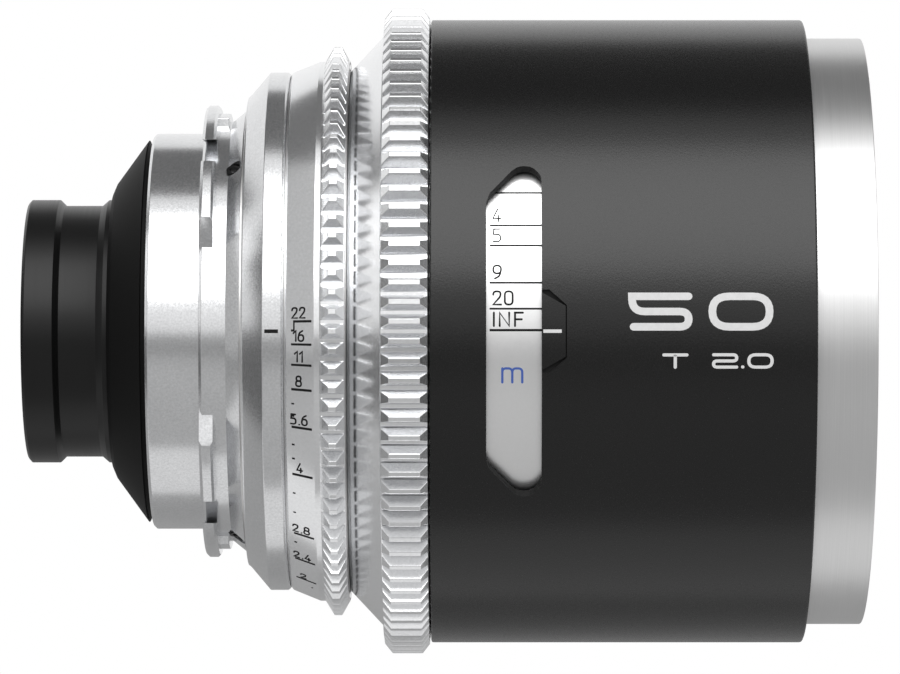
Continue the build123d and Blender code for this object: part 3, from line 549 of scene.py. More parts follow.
# %% Front baffle
STEP_COUNT = 9
STEP_FORWARD = 0.78
STEP_OUTWARD = 0.39
cone_steps = []
for step in range(STEP_COUNT):
    ahead, radius = STEP_FORWARD * step, 32.35 + STEP_OUTWARD * step
    cone_steps += [(76.95 + ahead, radius), (77.7 + ahead, radius)]
baffle = turn_piece(
    "front_baffle_stepped",
    cone_steps + [(83.98, 36.0), (83.98, 36.55), (78.7, 36.55), (76.95, 33.1)],
    edge=0,
)
stand_for(baffle, "lens_body", "front_baffle")
dress(baffle, inner_black)

# %% [markdown]
# ## The shroud
#
# The long black tube is a plain turning, 85 mm across, with a step inside its front end
# that takes the front ring. It gets more steps than the other rings, because its large
# plain side would show every flat.

# %% Shroud
SHROUD_RADIUS = 42.5
shroud = turn_piece(
    "shroud_turned",
    [
        (30.6, 41.0),
        (30.6, SHROUD_RADIUS),
        (81.0, SHROUD_RADIUS),
        (81.0, 40.05),
        (78.25, 40.05),
        (78.25, 41.0),
    ],
    edge=0.25,
    steps=360,
)
print("shroud before milling:", len(shroud.data.polygons), "faces")

# %% [markdown]
# ## The focus window
#
# The window is milled through the tube, with a slanted upper and lower end. Its outline
# is known on the unrolled surface, so each point is first carried onto the flat plane
# that touches the tube. The cutter is then drawn as an outline, filled, and pulled
# through the wall; its far end is wider, because the mill points at the axis.

# %% The milling tool
def mill_tool(name, outline, near, far):
    """A cutter through the camera side, from a near to a far distance from the axis.
    The outline is given where the plane touches the shroud."""
    tool = draw_outline(name, [(x, z * near / SHROUD_RADIUS) for x, z in outline])
    bpy.ops.mesh.edge_face_add()
    bpy.ops.transform.translate(value=(0, -near * MM, 0))
    outward = (0, -(far - near) * MM, 0)
    bpy.ops.mesh.extrude_region_move(TRANSFORM_OT_translate={"value": outward})
    bpy.ops.transform.resize(value=(1, 1, far / near), center_override=(0, 0, 0))
    bpy.ops.mesh.select_all(action="SELECT")
    bpy.ops.mesh.normals_make_consistent(inside=False)
    bpy.ops.object.mode_set(mode="OBJECT")
    return tool


def on_flat(x, arc):
    """Where a point at this arc length lies on the plane that touches the near side."""
    return (x, SHROUD_RADIUS * tan(arc / SHROUD_RADIUS))


print("20 mm of arc lie", round(on_flat(0, 20)[1], 2), "mm up on the flat plane")

# %% [markdown]
# The upper half of the window starts with a small bend, runs along the diagonal and ends
# in a round. The diagonal has points of its own, since the cutter's long walls would
# twist between two ends alone. The lower half is the same, mirrored. Beside the window
# lies a shallow pocket for the index plate, with two corners cut off.

# %% Cut the window and the pocket
WINDOW_REACH = (32.0, 46.0)
POCKET_REACH = (41.7, 48.0)
half = [(38.0, 17.3), (38.3, 18.2), (38.5, 18.6)]
half += [(38.5 + 0.475 * step, 18.6 + 0.55 * step) for step in range(1, 7)]
half += [(41.9, 22.35), (42.5, 22.56), (43.0, 22.6), (43.7, 22.5), (44.3, 22.15)]
half += [(44.8, 21.6), (45.1, 21.1), (45.22, 20.5)]
upper = [on_flat(x, arc) for x, arc in half]
lower = [(x, -z) for x, z in reversed(upper)]
cut(shroud, mill_tool("window_cutter", upper + lower, *WINDOW_REACH))

pocket = [(45.1, 5.45), (45.1, -5.45), (46.2, -5.45)]
pocket += [(48.45, -3.4), (48.45, 3.4), (46.2, 5.45)]
cut(shroud, mill_tool("pocket_cutter", pocket, *POCKET_REACH))
smooth(shroud)
stand_for(shroud, "lens_body", "shroud")
dress(shroud, shroud_black)

# %% [markdown]
# The milled walls of the window stand in shade, and that shade is painted: they get the
# dull inside black, a duller copy of the shroud's black, so that the window's edge reads as a thin
# dark line.
# They get a second material, and are found by their place: on the camera side, near the
# window, and between the inner and the outer skin.

# %% Matt walls for the window, in painted shade
WALL_X = (36, 49)
WALL_RADIUS = (41.02, 42.45)
WALL_HEIGHT = 26
# The dull inside black on the window's walls is painted shade
shroud.data.materials.append(inner_black.material)
walls = 0
for face in shroud.data.polygons:
    x, y, z = face.center / MM
    between_skins = WALL_RADIUS[0] < hypot(y, z) < WALL_RADIUS[1]
    if y < 0 and WALL_X[0] < x < WALL_X[1] and between_skins and abs(z) < WALL_HEIGHT:
        face.material_index = 1
        walls += 1
print("faces of the window's walls:", walls)

# %% [markdown]
# ## Gears
#
# A focus motor drives the lens through gears of module 0.8: their pitch circle is
# 0.8 mm across for each tooth. A gear is one tooth, copied round. The tooth starts as a
# block and is cut across at two heights; its corners are then moved in, which gives the
# slanted flanks and the bevelled ends. The corners are picked out by their place.

# %% Move chosen corners
def shift(piece, test, step):
    """Move the corners whose place, in millimetres, passes a test."""
    edit(piece, "VERT")
    bpy.ops.object.mode_set(mode="OBJECT")
    for vertex in piece.data.vertices:
        vertex.select = test(*(vertex.co / MM))
    bpy.ops.object.mode_set(mode="EDIT")
    bpy.ops.transform.translate(value=[part * MM for part in step])
    bpy.ops.object.mode_set(mode="OBJECT")


# %% One tooth
MODULE = 0.8
PRESSURE_ANGLE = 20
TOOTH_ROOTED = 0.4
TOOTH_EDGE = 0.05
SAME_LEVEL = 0.01


def shape_tooth(name, teeth, foot, x_foot, x_crest):
    """One tooth at the top of the ring, wide at its root and narrow at its crest."""
    pitch = MODULE * teeth / 2
    crest = pitch + MODULE
    root = pitch - 1.25 * MODULE
    base = min(foot, root) - TOOTH_ROOTED
    slope = tan(radians(PRESSURE_ANGLE))
    pitch_half = MODULE * pi / 4
    crest_half = pitch_half - (crest - pitch) * slope
    root_half = pitch_half + (pitch - root) * slope
    middle = (x_foot[0] + x_foot[1]) / 2
    size = (x_foot[1] - x_foot[0], 2 * root_half, crest - base)
    tooth = block(name, (middle, 0, (base + crest) / 2), size)
    edit(tooth)
    for level in (root, foot):
        bpy.ops.mesh.select_all(action="SELECT")
        bpy.ops.mesh.bisect(plane_co=(0, 0, level * MM), plane_no=(0, 0, 1))
    # The ends lean in above the foot, the flanks above the root
    for level in (root, foot, crest):
        lean = max(0, (level - foot) / (crest - foot))
        narrowing = max(0, (level - root) / (crest - root)) * (root_half - crest_half)
        for end in (0, 1):
            for flank in (-1, 1):
                shift(
                    tooth,
                    lambda x, y, z: abs(z - level) < SAME_LEVEL
                    and (x > middle) == bool(end)
                    and y * flank > 0,
                    (lean * (x_crest[end] - x_foot[end]), -flank * narrowing, 0),
                )
    print(name, "%.2f mm wide at the root, %.2f mm at the crest" % (2 * root_half, 2 * crest_half))
    return soften(tooth, TOOTH_EDGE, segments=1)


# %% [markdown]
# Spin with duplicates lays the copies of the tooth round the ring, and the whole gear is
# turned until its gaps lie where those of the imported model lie. The teeth are then
# joined to a turned body.

# %% The ring of teeth
TOOTH_WELD = 0.0002 * MM


def gear_teeth(name, teeth, foot, x_foot, x_crest):
    """Teeth round the X axis, from a foot radius; x_foot and x_crest are (rear, front)."""
    tooth = shape_tooth(name, teeth, foot, x_foot, x_crest)
    edit(tooth)
    bpy.ops.mesh.select_all(action="SELECT")
    bpy.ops.mesh.spin(
        steps=teeth, dupli=True, angle=2 * pi, center=(0, 0, 0), axis=(1, 0, 0)
    )
    weld(TOOTH_WELD)
    bpy.ops.mesh.normals_make_consistent(inside=False)
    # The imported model's first gap lies on the horizontal, so turn by half a tooth or less
    offset = {0: pi / teeth, 2: 0}.get(teeth % 4, pi / 2 / teeth)
    bpy.ops.transform.rotate(value=offset, orient_axis="X", center_override=(0, 0, 0))
    bpy.ops.object.mode_set(mode="OBJECT")
    print(name, "has", teeth, "teeth on a pitch circle of", round(MODULE * teeth, 2), "mm")
    return tooth


def join(pieces, name):
    """Join pieces into the first one."""
    clear_selection()
    for piece in pieces:
        piece.select_set(True)
    bpy.context.view_layer.objects.active = pieces[0]
    if len(pieces) > 1:
        bpy.ops.object.join()
    return name_piece(name)


# %% [markdown]
# ## The focus ring
#
# A steep silver cone rises from the iris gear to the focus gear, the largest ring of the
# lens. Body and teeth are made apart and joined, so that each can have its own bevel.

# %% Focus ring
focus_body = turn_piece(
    "focus_body",
    [(19.7, 34.9), (19.7, 35.55), (24.2, 40.35), (24.2, 42.0), (30.45, 42.1), (30.45, 36.6)],
    edge=0.12,
)
focus_teeth = gear_teeth("focus_teeth", 108, 42.7, (24.3, 30.4), (25.35, 29.4))
focus_ring = smooth(join([focus_body, focus_teeth], "focus_ring_geared"))
stand_for(focus_ring, "focus_group", "focus_ring")
dress(focus_ring, blasted)

# %% [markdown]
# ## The iris ring
#
# This ring is made the same way: a shallow cone that carries the T-stop scale, and a
# smaller gear in front of it, whose teeth are short along the axis.

# %% Iris ring
iris_body = turn_piece(
    "iris_body",
    [
        (11.65, 34.55),
        (11.65, 35.1),
        (11.85, 35.35),
        (15.5, 36.83),
        (16.2, 36.83),
        (16.4, 37.0),
        (19.5, 37.0),
        (19.5, 35.9),
        (18.2, 35.9),
        (18.2, 34.55),
    ],
    edge=0.06,
)
iris_teeth = gear_teeth("iris_teeth", 95, 36.83, (16.2, 19.5), (17.4, 18.4))
iris_ring = smooth(join([iris_body, iris_teeth], "iris_ring_geared"))
stand_for(iris_ring, "iris_group", "iris_ring")
dress(iris_ring, blasted)

# %% [markdown]
# ## The index ring
#
# It stands still between the mount and the iris ring and carries the line at which the
# iris scale is read. It is a plain turning: a cone, a band, and a small bevel in front.

# %% Index ring
index_ring = turn_piece(
    "index_ring_turned",
    [
        (5.72, 28.5),
        (5.72, 32.0),
        (5.95, 32.1),
        (8.7, 35.35),
        (11.1, 35.35),
        (11.5, 35.0),
        (11.5, 33.3),
        (8.2, 33.3),
        (8.2, 28.5),
    ],
    edge=0.08,
)
stand_for(index_ring, "lens_body", "index_ring")
dress(index_ring, silver)

# %% [markdown]
# ## The bayonet mount
#
# The mount's barrel is 54 mm across and goes into the camera up to the flat face of the
# flange. The collar's cone has three round recesses for set screws. They are bored from
# the side, so each cutter is a cylinder that points at the axis.

# %% Mount barrel, flange and collar
mount_body = turn_piece(
    "mount_body",
    [
        (-7.2, 24.4),
        (-7.2, 26.6),
        (-6.8, 27.0),
        (0.0, 27.0),
        (0.0, 28.25),
        (0.4, 28.65),
        (3.6, 28.65),
        (5.45, 30.15),
        (5.45, 28.5),
        (8.2, 28.5),
        (8.2, 24.4),
    ],
    edge=0.06,
)
SCREW_ANGLES = (132, 252, 12)
RECESS_RADIUS = 1.15
RECESS_DEPTH = 4
RECESS_X, RECESS_FROM_AXIS = 4.35, 30.5
for angle in SCREW_ANGLES:
    clear_selection()
    bpy.ops.mesh.primitive_cylinder_add(
        radius=RECESS_RADIUS * MM,
        depth=RECESS_DEPTH * MM,
        vertices=48,
        location=(RECESS_X * MM, 0, RECESS_FROM_AXIS * MM),
    )
    drill = name_piece("screw_recess_cutter")
    settle()
    drill.rotation_euler = (radians(angle - 90), 0, 0)
    settle()
    cut(mount_body, drill)
smooth(mount_body)
stand_for(mount_body, "lens_body", "lens_mount")
dress(mount_body, silver)

# %% [markdown]
# ## The lugs
#
# The lugs lock the lens into the camera. They start as one turned ring. Two wide gaps,
# on the near and the far side, leave a lug above and one below, and each has two
# straight slots, just as an end mill would cut them. The gap's cutter is drawn flat,
# made 6 mm thick, and turned to lie along the axis.

# %% Lug ring with its gaps and slots
lugs = turn_piece(
    "mount_lugs",
    [(0.0, 28.0), (0.0, 30.45), (0.4, 30.85), (1.5, 30.85), (1.85, 30.5), (1.85, 28.0)],
    edge=0,
    steps=360,
)
CUTTER_DEPTH = 6
SLOT_HEIGHTS = (-24.2, 24.2)
SLOT_WIDTH = 3
GAP = [(26.4, 10.9), (26.85, 15.2), (33, 15.2), (33, -15.2), (26.85, -15.2), (26.4, -10.9)]
for side in (-1, 1):
    gap = draw_outline("gap_cutter", [(side * across, height) for across, height in GAP])
    bpy.ops.mesh.edge_face_add()
    through = (0, CUTTER_DEPTH * MM, 0)
    bpy.ops.mesh.extrude_region_move(TRANSFORM_OT_translate={"value": through})
    bpy.ops.mesh.select_all(action="SELECT")
    bpy.ops.transform.translate(value=(0, -CUTTER_DEPTH / 2 * MM, 0))
    bpy.ops.mesh.normals_make_consistent(inside=False)
    bpy.ops.object.mode_set(mode="OBJECT")
    gap.rotation_euler = (0, 0, pi / 2)
    settle()
    cut(lugs, gap)
    for height in SLOT_HEIGHTS:
        slot_size = (CUTTER_DEPTH, 20, SLOT_WIDTH)
        cut(lugs, block("slot_cutter", (1, side * 22, height), slot_size))
smooth(soften(lugs, 0.08))
ride_on(lugs, "lens_body")
dress(lugs, silver)

# %% [markdown]
# ## The stop pads
#
# In front of the lugs, a low rim remains above and below. It is a thin turned ring whose
# near and far parts are trimmed off with two large blocks.

# %% Stop pads
pads = turn_piece(
    "mount_stop_pads", [(1.7, 28.3), (1.7, 29.75), (3.2, 29.75), (3.2, 28.3)], edge=0
)
for side in (-1, 1):
    cut(pads, block("pad_cutter", (2.5, side * 27, 0), (CUTTER_DEPTH, 40, 70)))
smooth(soften(pads, 0.1))
ride_on(pads, "lens_body")
dress(pads, silver)

# %% [markdown]
# ## The light shield
#
# A dull black cone closes the mount towards the rear. The rear barrel slides through its
# bore, so the cone's thin inner lip ends a third of a millimetre outside that barrel.

# %% Light shield
shield = turn_piece(
    "light_shield_turned",
    [
        (-12.8, 18.3),
        (-12.75, 18.9),
        (-12.2, 20.2),
        (-7.9, 26.1),
        (-7.8, 25.6),
        (-7.2, 25.6),
        (-7.2, 24.35),
        (-4.0, 24.35),
        (-4.0, 23.0),
        (-7.8, 23.0),
        (-11.4, 18.3),
    ],
    edge=0.05,
)
stand_for(shield, "lens_body", "light_shield")
dress(shield, shield_black)

# %% [markdown]
# ## The rear barrel
#
# The rear cell's long barrel stands out of the shield. It slides forward through it when
# the lens is focused closer. It has a wide groove near its end, and inside the lens it
# widens to hold the rear glass; one outline takes it all in.

# %% Rear barrel
rear_barrel = turn_piece(
    "rear_barrel_turned",
    [
        (-24.3, 15.0),
        (-24.3, 17.5),
        (-23.9, 17.95),
        (-20.1, 17.95),
        (-19.3, 17.15),
        (-14.3, 17.15),
        (-13.4, 17.95),
        (9.0, 17.95),
        (20.0, 26.0),
        (22.5, 26.0),
        (22.5, 29.55),
        (24.5, 29.55),
        (24.5, 27.95),
        (30.95, 27.95),
        (30.95, 20.0),
        (22.6, 20.0),
        (22.6, 18.8),
        (20.0, 18.8),
        (9.0, 13.8),
        (-17.4, 13.8),
        (-17.4, 15.0),
    ],
    edge=0.06,
)
stand_for(rear_barrel, "optical_block", "rear_cell")
dress(rear_barrel, turned_black)

# %% [markdown]
# ## Scales
#
# Numbers and lines are filled engravings. Each is a small flat mesh, laid on the plane
# that touches the ring, turned to its angle, and shrinkwrapped onto the surface a few
# hundredths of a millimetre up. An image texture would blur at the edges; real shapes
# stay crisp at any distance.

# %% Marks on a turned surface
LIFT = 0.03 * MM


def lay_on(piece, target, angle, radius):
    """Lay a flat piece, drawn in millimetres as (X, height), onto a turned surface.
    It is lifted to the near side, turned below the middle by the angle, and wrapped."""
    take(piece)
    bpy.ops.object.mode_set(mode="EDIT")
    bpy.ops.mesh.select_all(action="SELECT")
    bpy.ops.transform.translate(value=(0, -radius * MM, 0))
    bpy.ops.object.mode_set(mode="OBJECT")
    piece.rotation_euler = (radians(angle), 0, 0)
    settle()
    return use_modifier(
        piece,
        "SHRINKWRAP",
        target=target,
        wrap_method="NEAREST_SURFACEPOINT",
        wrap_mode="ABOVE_SURFACE",
        offset=LIFT,
    )


def slices(piece, heights):
    """Cut a flat piece across at these heights, in millimetres, so that it can bend."""
    edit(piece)
    for height in heights:
        bpy.ops.mesh.select_all(action="SELECT")
        bpy.ops.mesh.bisect(plane_co=(0, 0, height * MM), plane_no=(0, 0, 1))
    bpy.ops.object.mode_set(mode="OBJECT")


def bar(x0, x1, low, high):
    """A flat upright rectangle in the X-Z plane, in millimetres."""
    clear_selection()
    bpy.ops.mesh.primitive_plane_add(size=MM, rotation=(pi / 2, 0, 0))
    piece = name_piece("bar")
    piece.scale = (x1 - x0, high - low, 1)
    piece.location = ((x0 + x1) / 2 * MM, 0, (low + high) / 2 * MM)
    settle()
    return piece


print("marks stand", LIFT / MM, "mm above the metal")

# %% [markdown]
# ## Numbers as an engraver cuts them
#
# A pantograph engraver follows each number with one round cutter, so a number is a path
# of even width with round ends. Each path below is a list of points, as shares of the
# letter's height: the third value of a point is how far its corner is rounded. Closed
# rings are cut as two halves that meet. The data on the shroud has a wide, square hand.

# %% The alphabet of paths
def ring(left, low, right, high, corner):
    """Two half rings that meet in the middle of the top and the bottom."""
    middle = (left + right) / 2
    return [
        ("half", [(middle, high), (side, high, corner), (side, low, corner), (middle, low)])
        for side in (left, right)
    ]


PATHS = {
    "0": ring(0, 0, 0.58, 1, 0.28),
    "1": [("path", [(0, 0.76), (0.28, 1), (0.28, 0)])],
    "2": [
        ("path", [(0, 0.74), (0, 1, 0.26), (0.54, 1, 0.26), (0.54, 0.62, 0.2), (0, 0), (0.58, 0)])
    ],
    "3": [
        ("path", [(0, 1), (0.52, 1, 0.24), (0.52, 0.55, 0.24), (0.16, 0.55)]),
        ("path", [(0.3, 0.55), (0.56, 0.55, 0.26), (0.56, 0, 0.26), (0, 0)]),
    ],
    "4": [
        ("path", [(0.34, 1), (0, 0.24), (0.58, 0.24)]),
        ("path", [(0.42, 0.48), (0.42, 0)]),
    ],
    "5": [
        ("path", [(0.5, 1), (0.06, 1), (0.04, 0.58), (0.56, 0.58, 0.28), (0.56, 0, 0.28), (0, 0)])
    ],
    "6": ring(0, 0, 0.58, 0.6, 0.28) + [("path", [(0.46, 1), (0.1, 0.8, 0.2), (0, 0.3)])],
    "7": [("path", [(0, 1), (0.55, 1), (0.2, 0)])],
    "8": ring(0, 0, 0.58, 0.53, 0.26) + ring(0.04, 0.53, 0.54, 1, 0.23),
    "9": ring(0, 0.4, 0.58, 1, 0.28) + [("path", [(0.12, 0), (0.48, 0.2, 0.2), (0.58, 0.7)])],
    ".": [("path", [(0.1, 0), (0.12, 0)])],
    "I": [("path", [(0.04, 0), (0.04, 1)])],
    "N": [("path", [(0, 0), (0, 1), (0.7, 0), (0.7, 1)])],
    "F": [("path", [(0, 0), (0, 1), (0.58, 1)]), ("path", [(0, 0.5), (0.5, 0.5)])],
    "m": [
        ("path", [(0, 0), (0, 1)]),
        ("path", [(0, 0.7), (0.02, 1, 0.25), (0.7, 1, 0.3), (0.7, 0)]),
        ("path", [(0.7, 0.7), (0.72, 1, 0.25), (1.4, 1, 0.3), (1.4, 0)]),
    ],
}
WIDE_PATHS = {
    "5": [
        (
            "path",
            [(1.82, 1), (0, 1), (0.01, 0.5, 0.4), (1.82, 0.5, 0.3), (1.82, 0, 0.3), (0.05, 0)],
        )
    ],
    "0": ring(0, 0, 1.84, 1, 0.55),
    "2": [
        (
            "path",
            [(0, 1), (1.82, 1, 0.3), (1.82, 0.5, 0.3), (0, 0.5, 0.3), (0, 0, 0.3), (1.82, 0)],
        )
    ],
    "T": [("path", [(0, 1), (1.82, 1)]), ("path", [(0.9, 0.9), (0.9, 0)])],
    ".": [("path", [(0, 0), (0.02, 0)])],
}
print("narrow letters:", len(PATHS), "wide letters:", len(WIDE_PATHS))

# %% [markdown]
# A rounded corner is a small curve: it starts on one side of the corner, is pulled
# towards it, and ends on the other side. Seven points are enough at this size.

# %% Round the corners of a path
CURVE_STEPS = 6
SHORTEST_STEP = 0.001


def distance(a, b):
    return hypot(b[0] - a[0], b[1] - a[1])


def curve(start, corner, end):
    """Points on a curve from start to end that leans towards the corner."""
    made = []
    for step in range(CURVE_STEPS + 1):
        t = step / CURVE_STEPS
        a, b, c = (1 - t) ** 2, 2 * t * (1 - t), t * t
        made.append(tuple(a * start[i] + b * corner[i] + c * end[i] for i in (0, 1)))
    return made


def rounded(points):
    """Replace each corner that has a third value by a curve."""
    made = [points[0][:2]]
    for before, corner, after in zip(points, points[1:], points[2:]):
        if len(corner) == 2:
            made.append(corner)
            continue
        ends = []
        for other in (before, after):
            # A neighbour that is rounded too leaves only half of the way
            share = min(corner[2] / distance(corner, other), 0.98 if len(other) == 2 else 0.5)
            ends.append([corner[i] + (other[i] - corner[i]) * share for i in (0, 1)])
        made += curve(ends[0], corner, ends[1])
    made.append(points[-1][:2])
    kept = made[:1]
    for point in made[1:]:
        if distance(kept[-1], point) > SHORTEST_STEP:
            kept.append(point)
    return kept


print("the path of a 3 has", sum(len(rounded(points)) for kind, points in PATHS["3"]), "points")

# %% [markdown]
# The cutter leaves a stroke of even width, so both edges run beside the path at half the
# cutter's width, and a fan of points closes each free end.

# %% From a path to a flat stroke
END_FAN = (60, 30, 0, -30, -60)
LONGEST_MITRE = 1.5


def sides(points, half):
    """The two edges of a stroke: each point pushed out square to the path."""
    left, right = [], []
    for index, (x, z) in enumerate(points):
        steps = []
        for a, b in ((index - 1, index), (index, index + 1)):
            if a >= 0 and b < len(points):
                dx, dz = points[b][0] - points[a][0], points[b][1] - points[a][1]
                steps.append((dx / hypot(dx, dz), dz / hypot(dx, dz)))
        dx, dz = sum(step[0] for step in steps), sum(step[1] for step in steps)
        length = hypot(dx, dz)
        reach = half * min(len(steps) / length, LONGEST_MITRE)
        left.append((x - dz / length * reach, z + dx / length * reach))
        right.append((x + dz / length * reach, z - dx / length * reach))
    return left, right


def round_end(tip, before, pen):
    """A fan of points round the free end of a stroke."""
    dx, dz = tip[0] - before[0], tip[1] - before[1]
    dx, dz = dx / hypot(dx, dz) * pen / 2, dz / hypot(dx, dz) * pen / 2
    fan = []
    for turn in END_FAN:
        c, n = cos(radians(turn)), sin(radians(turn))
        fan.append((tip[0] + c * dx - n * dz, tip[1] + c * dz + n * dx))
    return fan


def stroke(points, pen, kind):
    """A flat stroke in the X-Z plane; a path has round ends, a half ring has square ones."""
    left, right = sides(points, pen / 2)
    start, end = [], []
    if kind == "path":
        end = round_end(points[-1], points[-2], pen)
        start = round_end(points[0], points[1], pen)
    made = draw_outline("stroke", left + end + right[::-1] + start)
    bpy.ops.mesh.edge_face_add()
    bpy.ops.object.mode_set(mode="OBJECT")
    return made


def engrave(text, x, low, height, pen, gap=0.2, middle=False, paths=PATHS):
    """A number in the X-Z plane, sizes in millimetres; x is its left edge or its middle."""
    width = 0
    letters = []
    for letter in text:
        strokes = [(kind, rounded(points)) for kind, points in paths[letter]]
        letters.append((width, strokes))
        reach = max(point[0] for kind, points in strokes for point in points)
        width += reach * height + pen + gap
    left = x - (width - gap) / 2 + pen / 2 if middle else x + pen / 2
    made = []
    for start, strokes in letters:
        for kind, points in strokes:
            placed = [(left + start + u * height, low + v * height) for u, v in points]
            made.append(stroke(placed, pen, kind))
    return join(made, "number")


print("a free end is closed by", len(END_FAN), "points")

# %% [markdown]
# ## The distance drum
#
# The pale drum turns behind the window with the focus ring. Its numbers stand above
# their lines, and infinity has the boldest ones. The angle of each line was read from
# the window where it shows; beyond it, the angles follow the throw of the focus ring.

# %% Distance drum
DRUM_RADIUS = 40.6
drum = turn_piece(
    "drum_turned",
    [
        (30.5, 36.65),
        (30.5, DRUM_RADIUS),
        (50.0, DRUM_RADIUS),
        (50.0, 39.3),
        (32.7, 39.3),
        (32.7, 36.65),
    ],
    edge=0.1,
)
stand_for(drum, "focus_group", "scale_drum")
dress(drum, drum_pale)

# %% Distance marks
DRUM_REACH = DRUM_RADIUS + 0.5
DRUM_SETTING = -0.2
LINE_X = (38.45, 45.9)
NUMBER_LEFT, NUMBER_FOOT, NUMBER_HEIGHT = 38.8, 0.55, 1.75
# Metres, and the angle in degrees above the index line
DISTANCES = {
    "INF": 0.0,
    "20": 3.93,
    "9": 8.73,
    "5": 15.72,
    "4": 19.65,
    "3": 26.2,
    "2": 39.3,
    "1.5": 52.4,
    "1.2": 65.5,
    "1": 78.6,
    "0.8": 98.2,
    "0.7": 112.3,
    "0.6": 131,
    "0.5": 157.2,
    "0.45": 174.7,
    "0.4": 196.5,
    "0.36": 218.3,
}
BOLD_PENS = {"INF": 0.26, "20": 0.24, "9": 0.24}
marks = []
for text, angle in DISTANCES.items():
    boldest = text == "INF"
    half_line = (0.32 if boldest else 0.25) / 2
    turned_to = -angle + DRUM_SETTING
    line = bar(*LINE_X, -half_line, half_line)
    marks.append(lay_on(line, drum, turned_to, DRUM_REACH))
    pen, gap = BOLD_PENS.get(text, 0.19), 0.5 if boldest else 0.25
    number = engrave(text, NUMBER_LEFT, NUMBER_FOOT, NUMBER_HEIGHT, pen, gap=gap)
    marks.append(lay_on(number, drum, turned_to, DRUM_REACH))
distance_marks = join(marks, "distance_marks")
ride_on(distance_marks, "focus_group")
dress(distance_marks, black_paint)

# %% [markdown]
# Below infinity the drum names its unit, in blue: a small letter for the metre.

# %% The unit of the distances
BELOW_INFINITY = 9.4
metre = engrave("m", x=39.95, low=0, height=1.85, pen=0.3)
lay_on(metre, drum, BELOW_INFINITY, DRUM_REACH)
metre.name = "metre_sign"
ride_on(metre, "focus_group")
dress(metre, blue_paint)

# %% [markdown]
# ## The focus index
#
# A small black plate fills the pocket beside the window, and its white line shows the
# distance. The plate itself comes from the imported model; only the line is new.

# %% Index plate with its white line
index_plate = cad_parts["index_plate"]
dress(index_plate, shroud_black)
index_line = lay_on(bar(45.4, 47.78, -0.2, 0.24), index_plate, 0, SHROUD_RADIUS + 1)
index_line.name = "focus_index_line"
ride_on(index_line, "lens_body")
dress(index_line, white_paint)

# %% [markdown]
# ## The T-stop scale
#
# The stops are engraved on the iris ring's cone, T22 at the index line and the wider
# ones below it, at growing angles. Small dashes stand for the stops between. The mark of
# T22 is cut a little high, with a step down to its true place.

# %% T-stop scale
CONE_REACH = 37.2
CONE_START, LINE_END = 11.88, 15.0
HALF_LINE = 0.16
STOP_MIDDLE, STOP_FOOT, STOP_HEIGHT, STOP_PEN = 13.0, 0.46, 1.38, 0.24
STOP_SETTING = -0.15
DASH_SETTING = -0.3
# T-stops and dashes, at degrees below the index line
STOPS = {
    "22": -1.9,
    "16": 2.9,
    "11": 7.2,
    "8": 12.4,
    "5.6": 20.7,
    "4": 31.9,
    "2.8": 48.8,
    "2.4": 58.3,
    "2": 67.9,
}
DASHES = (15.7, 18.4, 24.9, 28.2, 37.0, 42.4, 52.0)
LAST_DOT = 71.5
STEP_X = 12.2
marks = []
for text, angle in STOPS.items():
    start = STEP_X if text == "22" else CONE_START
    line = bar(start, LINE_END, -HALF_LINE, HALF_LINE)
    marks.append(lay_on(line, iris_ring, angle + STOP_SETTING, CONE_REACH))
    number = engrave(text, STOP_MIDDLE, STOP_FOOT, STOP_HEIGHT, STOP_PEN, gap=0.14, middle=True)
    marks.append(lay_on(number, iris_ring, angle + STOP_SETTING, CONE_REACH))
for angle in DASHES:
    dash = bar(CONE_START, 12.3, -0.12, 0.12)
    marks.append(lay_on(dash, iris_ring, angle + DASH_SETTING, CONE_REACH))
step_down = bar(STEP_X, 12.42, -HALF_LINE, 1.24)
marks.append(lay_on(step_down, iris_ring, STOP_SETTING, CONE_REACH))
true_place = bar(CONE_START, STEP_X, -HALF_LINE, HALF_LINE)
marks.append(lay_on(true_place, iris_ring, STOP_SETTING, CONE_REACH))
dot = bar(14.16, 14.42, -0.13, 0.13)
marks.append(lay_on(dot, iris_ring, LAST_DOT, CONE_REACH))
stop_marks = join(marks, "stop_marks")
ride_on(stop_marks, "iris_group")
dress(stop_marks, black_paint)

# %% [markdown]
# The scale is read at a bold line on the index ring, just behind it.

# %% Iris index line
BAND_REACH = 36
iris_index = lay_on(bar(9.0, 10.8, -0.25, 0.25), index_ring, 0, BAND_REACH)
iris_index.name = "iris_index_line"
ride_on(iris_index, "lens_body")
dress(iris_index, black_paint)

# %% [markdown]
# ## The data on the shroud
#
# Focal length and aperture stand right of the window, in white. The letters are tall
# enough for the tube's curve to matter, so each is cut into slices that can bend.

# %% Focal length and aperture
SLICES = 6
DATA_REACH = SHROUD_RADIUS + 0.7
# (text, left edge of the path, its foot, its height, cutter)
DATA = [
    ("5", 56.38, 0.59, 4.03, 1.0),
    ("0", 66.78, 0.59, 4.03, 1.0),
    ("T", 60.8, -4.76, 1.64, 0.42),
    ("2", 67.24, -4.74, 1.64, 0.42),
    (".", 71.0, -4.72, 1.64, 0.42),
    ("0", 71.8, -4.74, 1.64, 0.42),
]
marks = []
for text, x, low, height, pen in DATA:
    number = engrave(text, x, low, height, pen, paths=WIDE_PATHS)
    slices(number, [low + height * step / SLICES for step in range(SLICES + 1)])
    marks.append(lay_on(number, shroud, 0, DATA_REACH))
lens_data = join(marks, "lens_data")
ride_on(lens_data, "lens_body")
dress(lens_data, white_paint)

# %% [markdown]
# ## The studio
#
# Satin metal shows what stands round it, so the studio is built for its reflections. A
# large soft lamp in front and above gives the broad highlight. Dim cards to the left, to
# the right and overhead give the dark bands that make the tubes look round, a bright one
# gives the flash on the rear cones, and a long strip below lights the underside. First
# comes a pale floor that keeps the shadow.

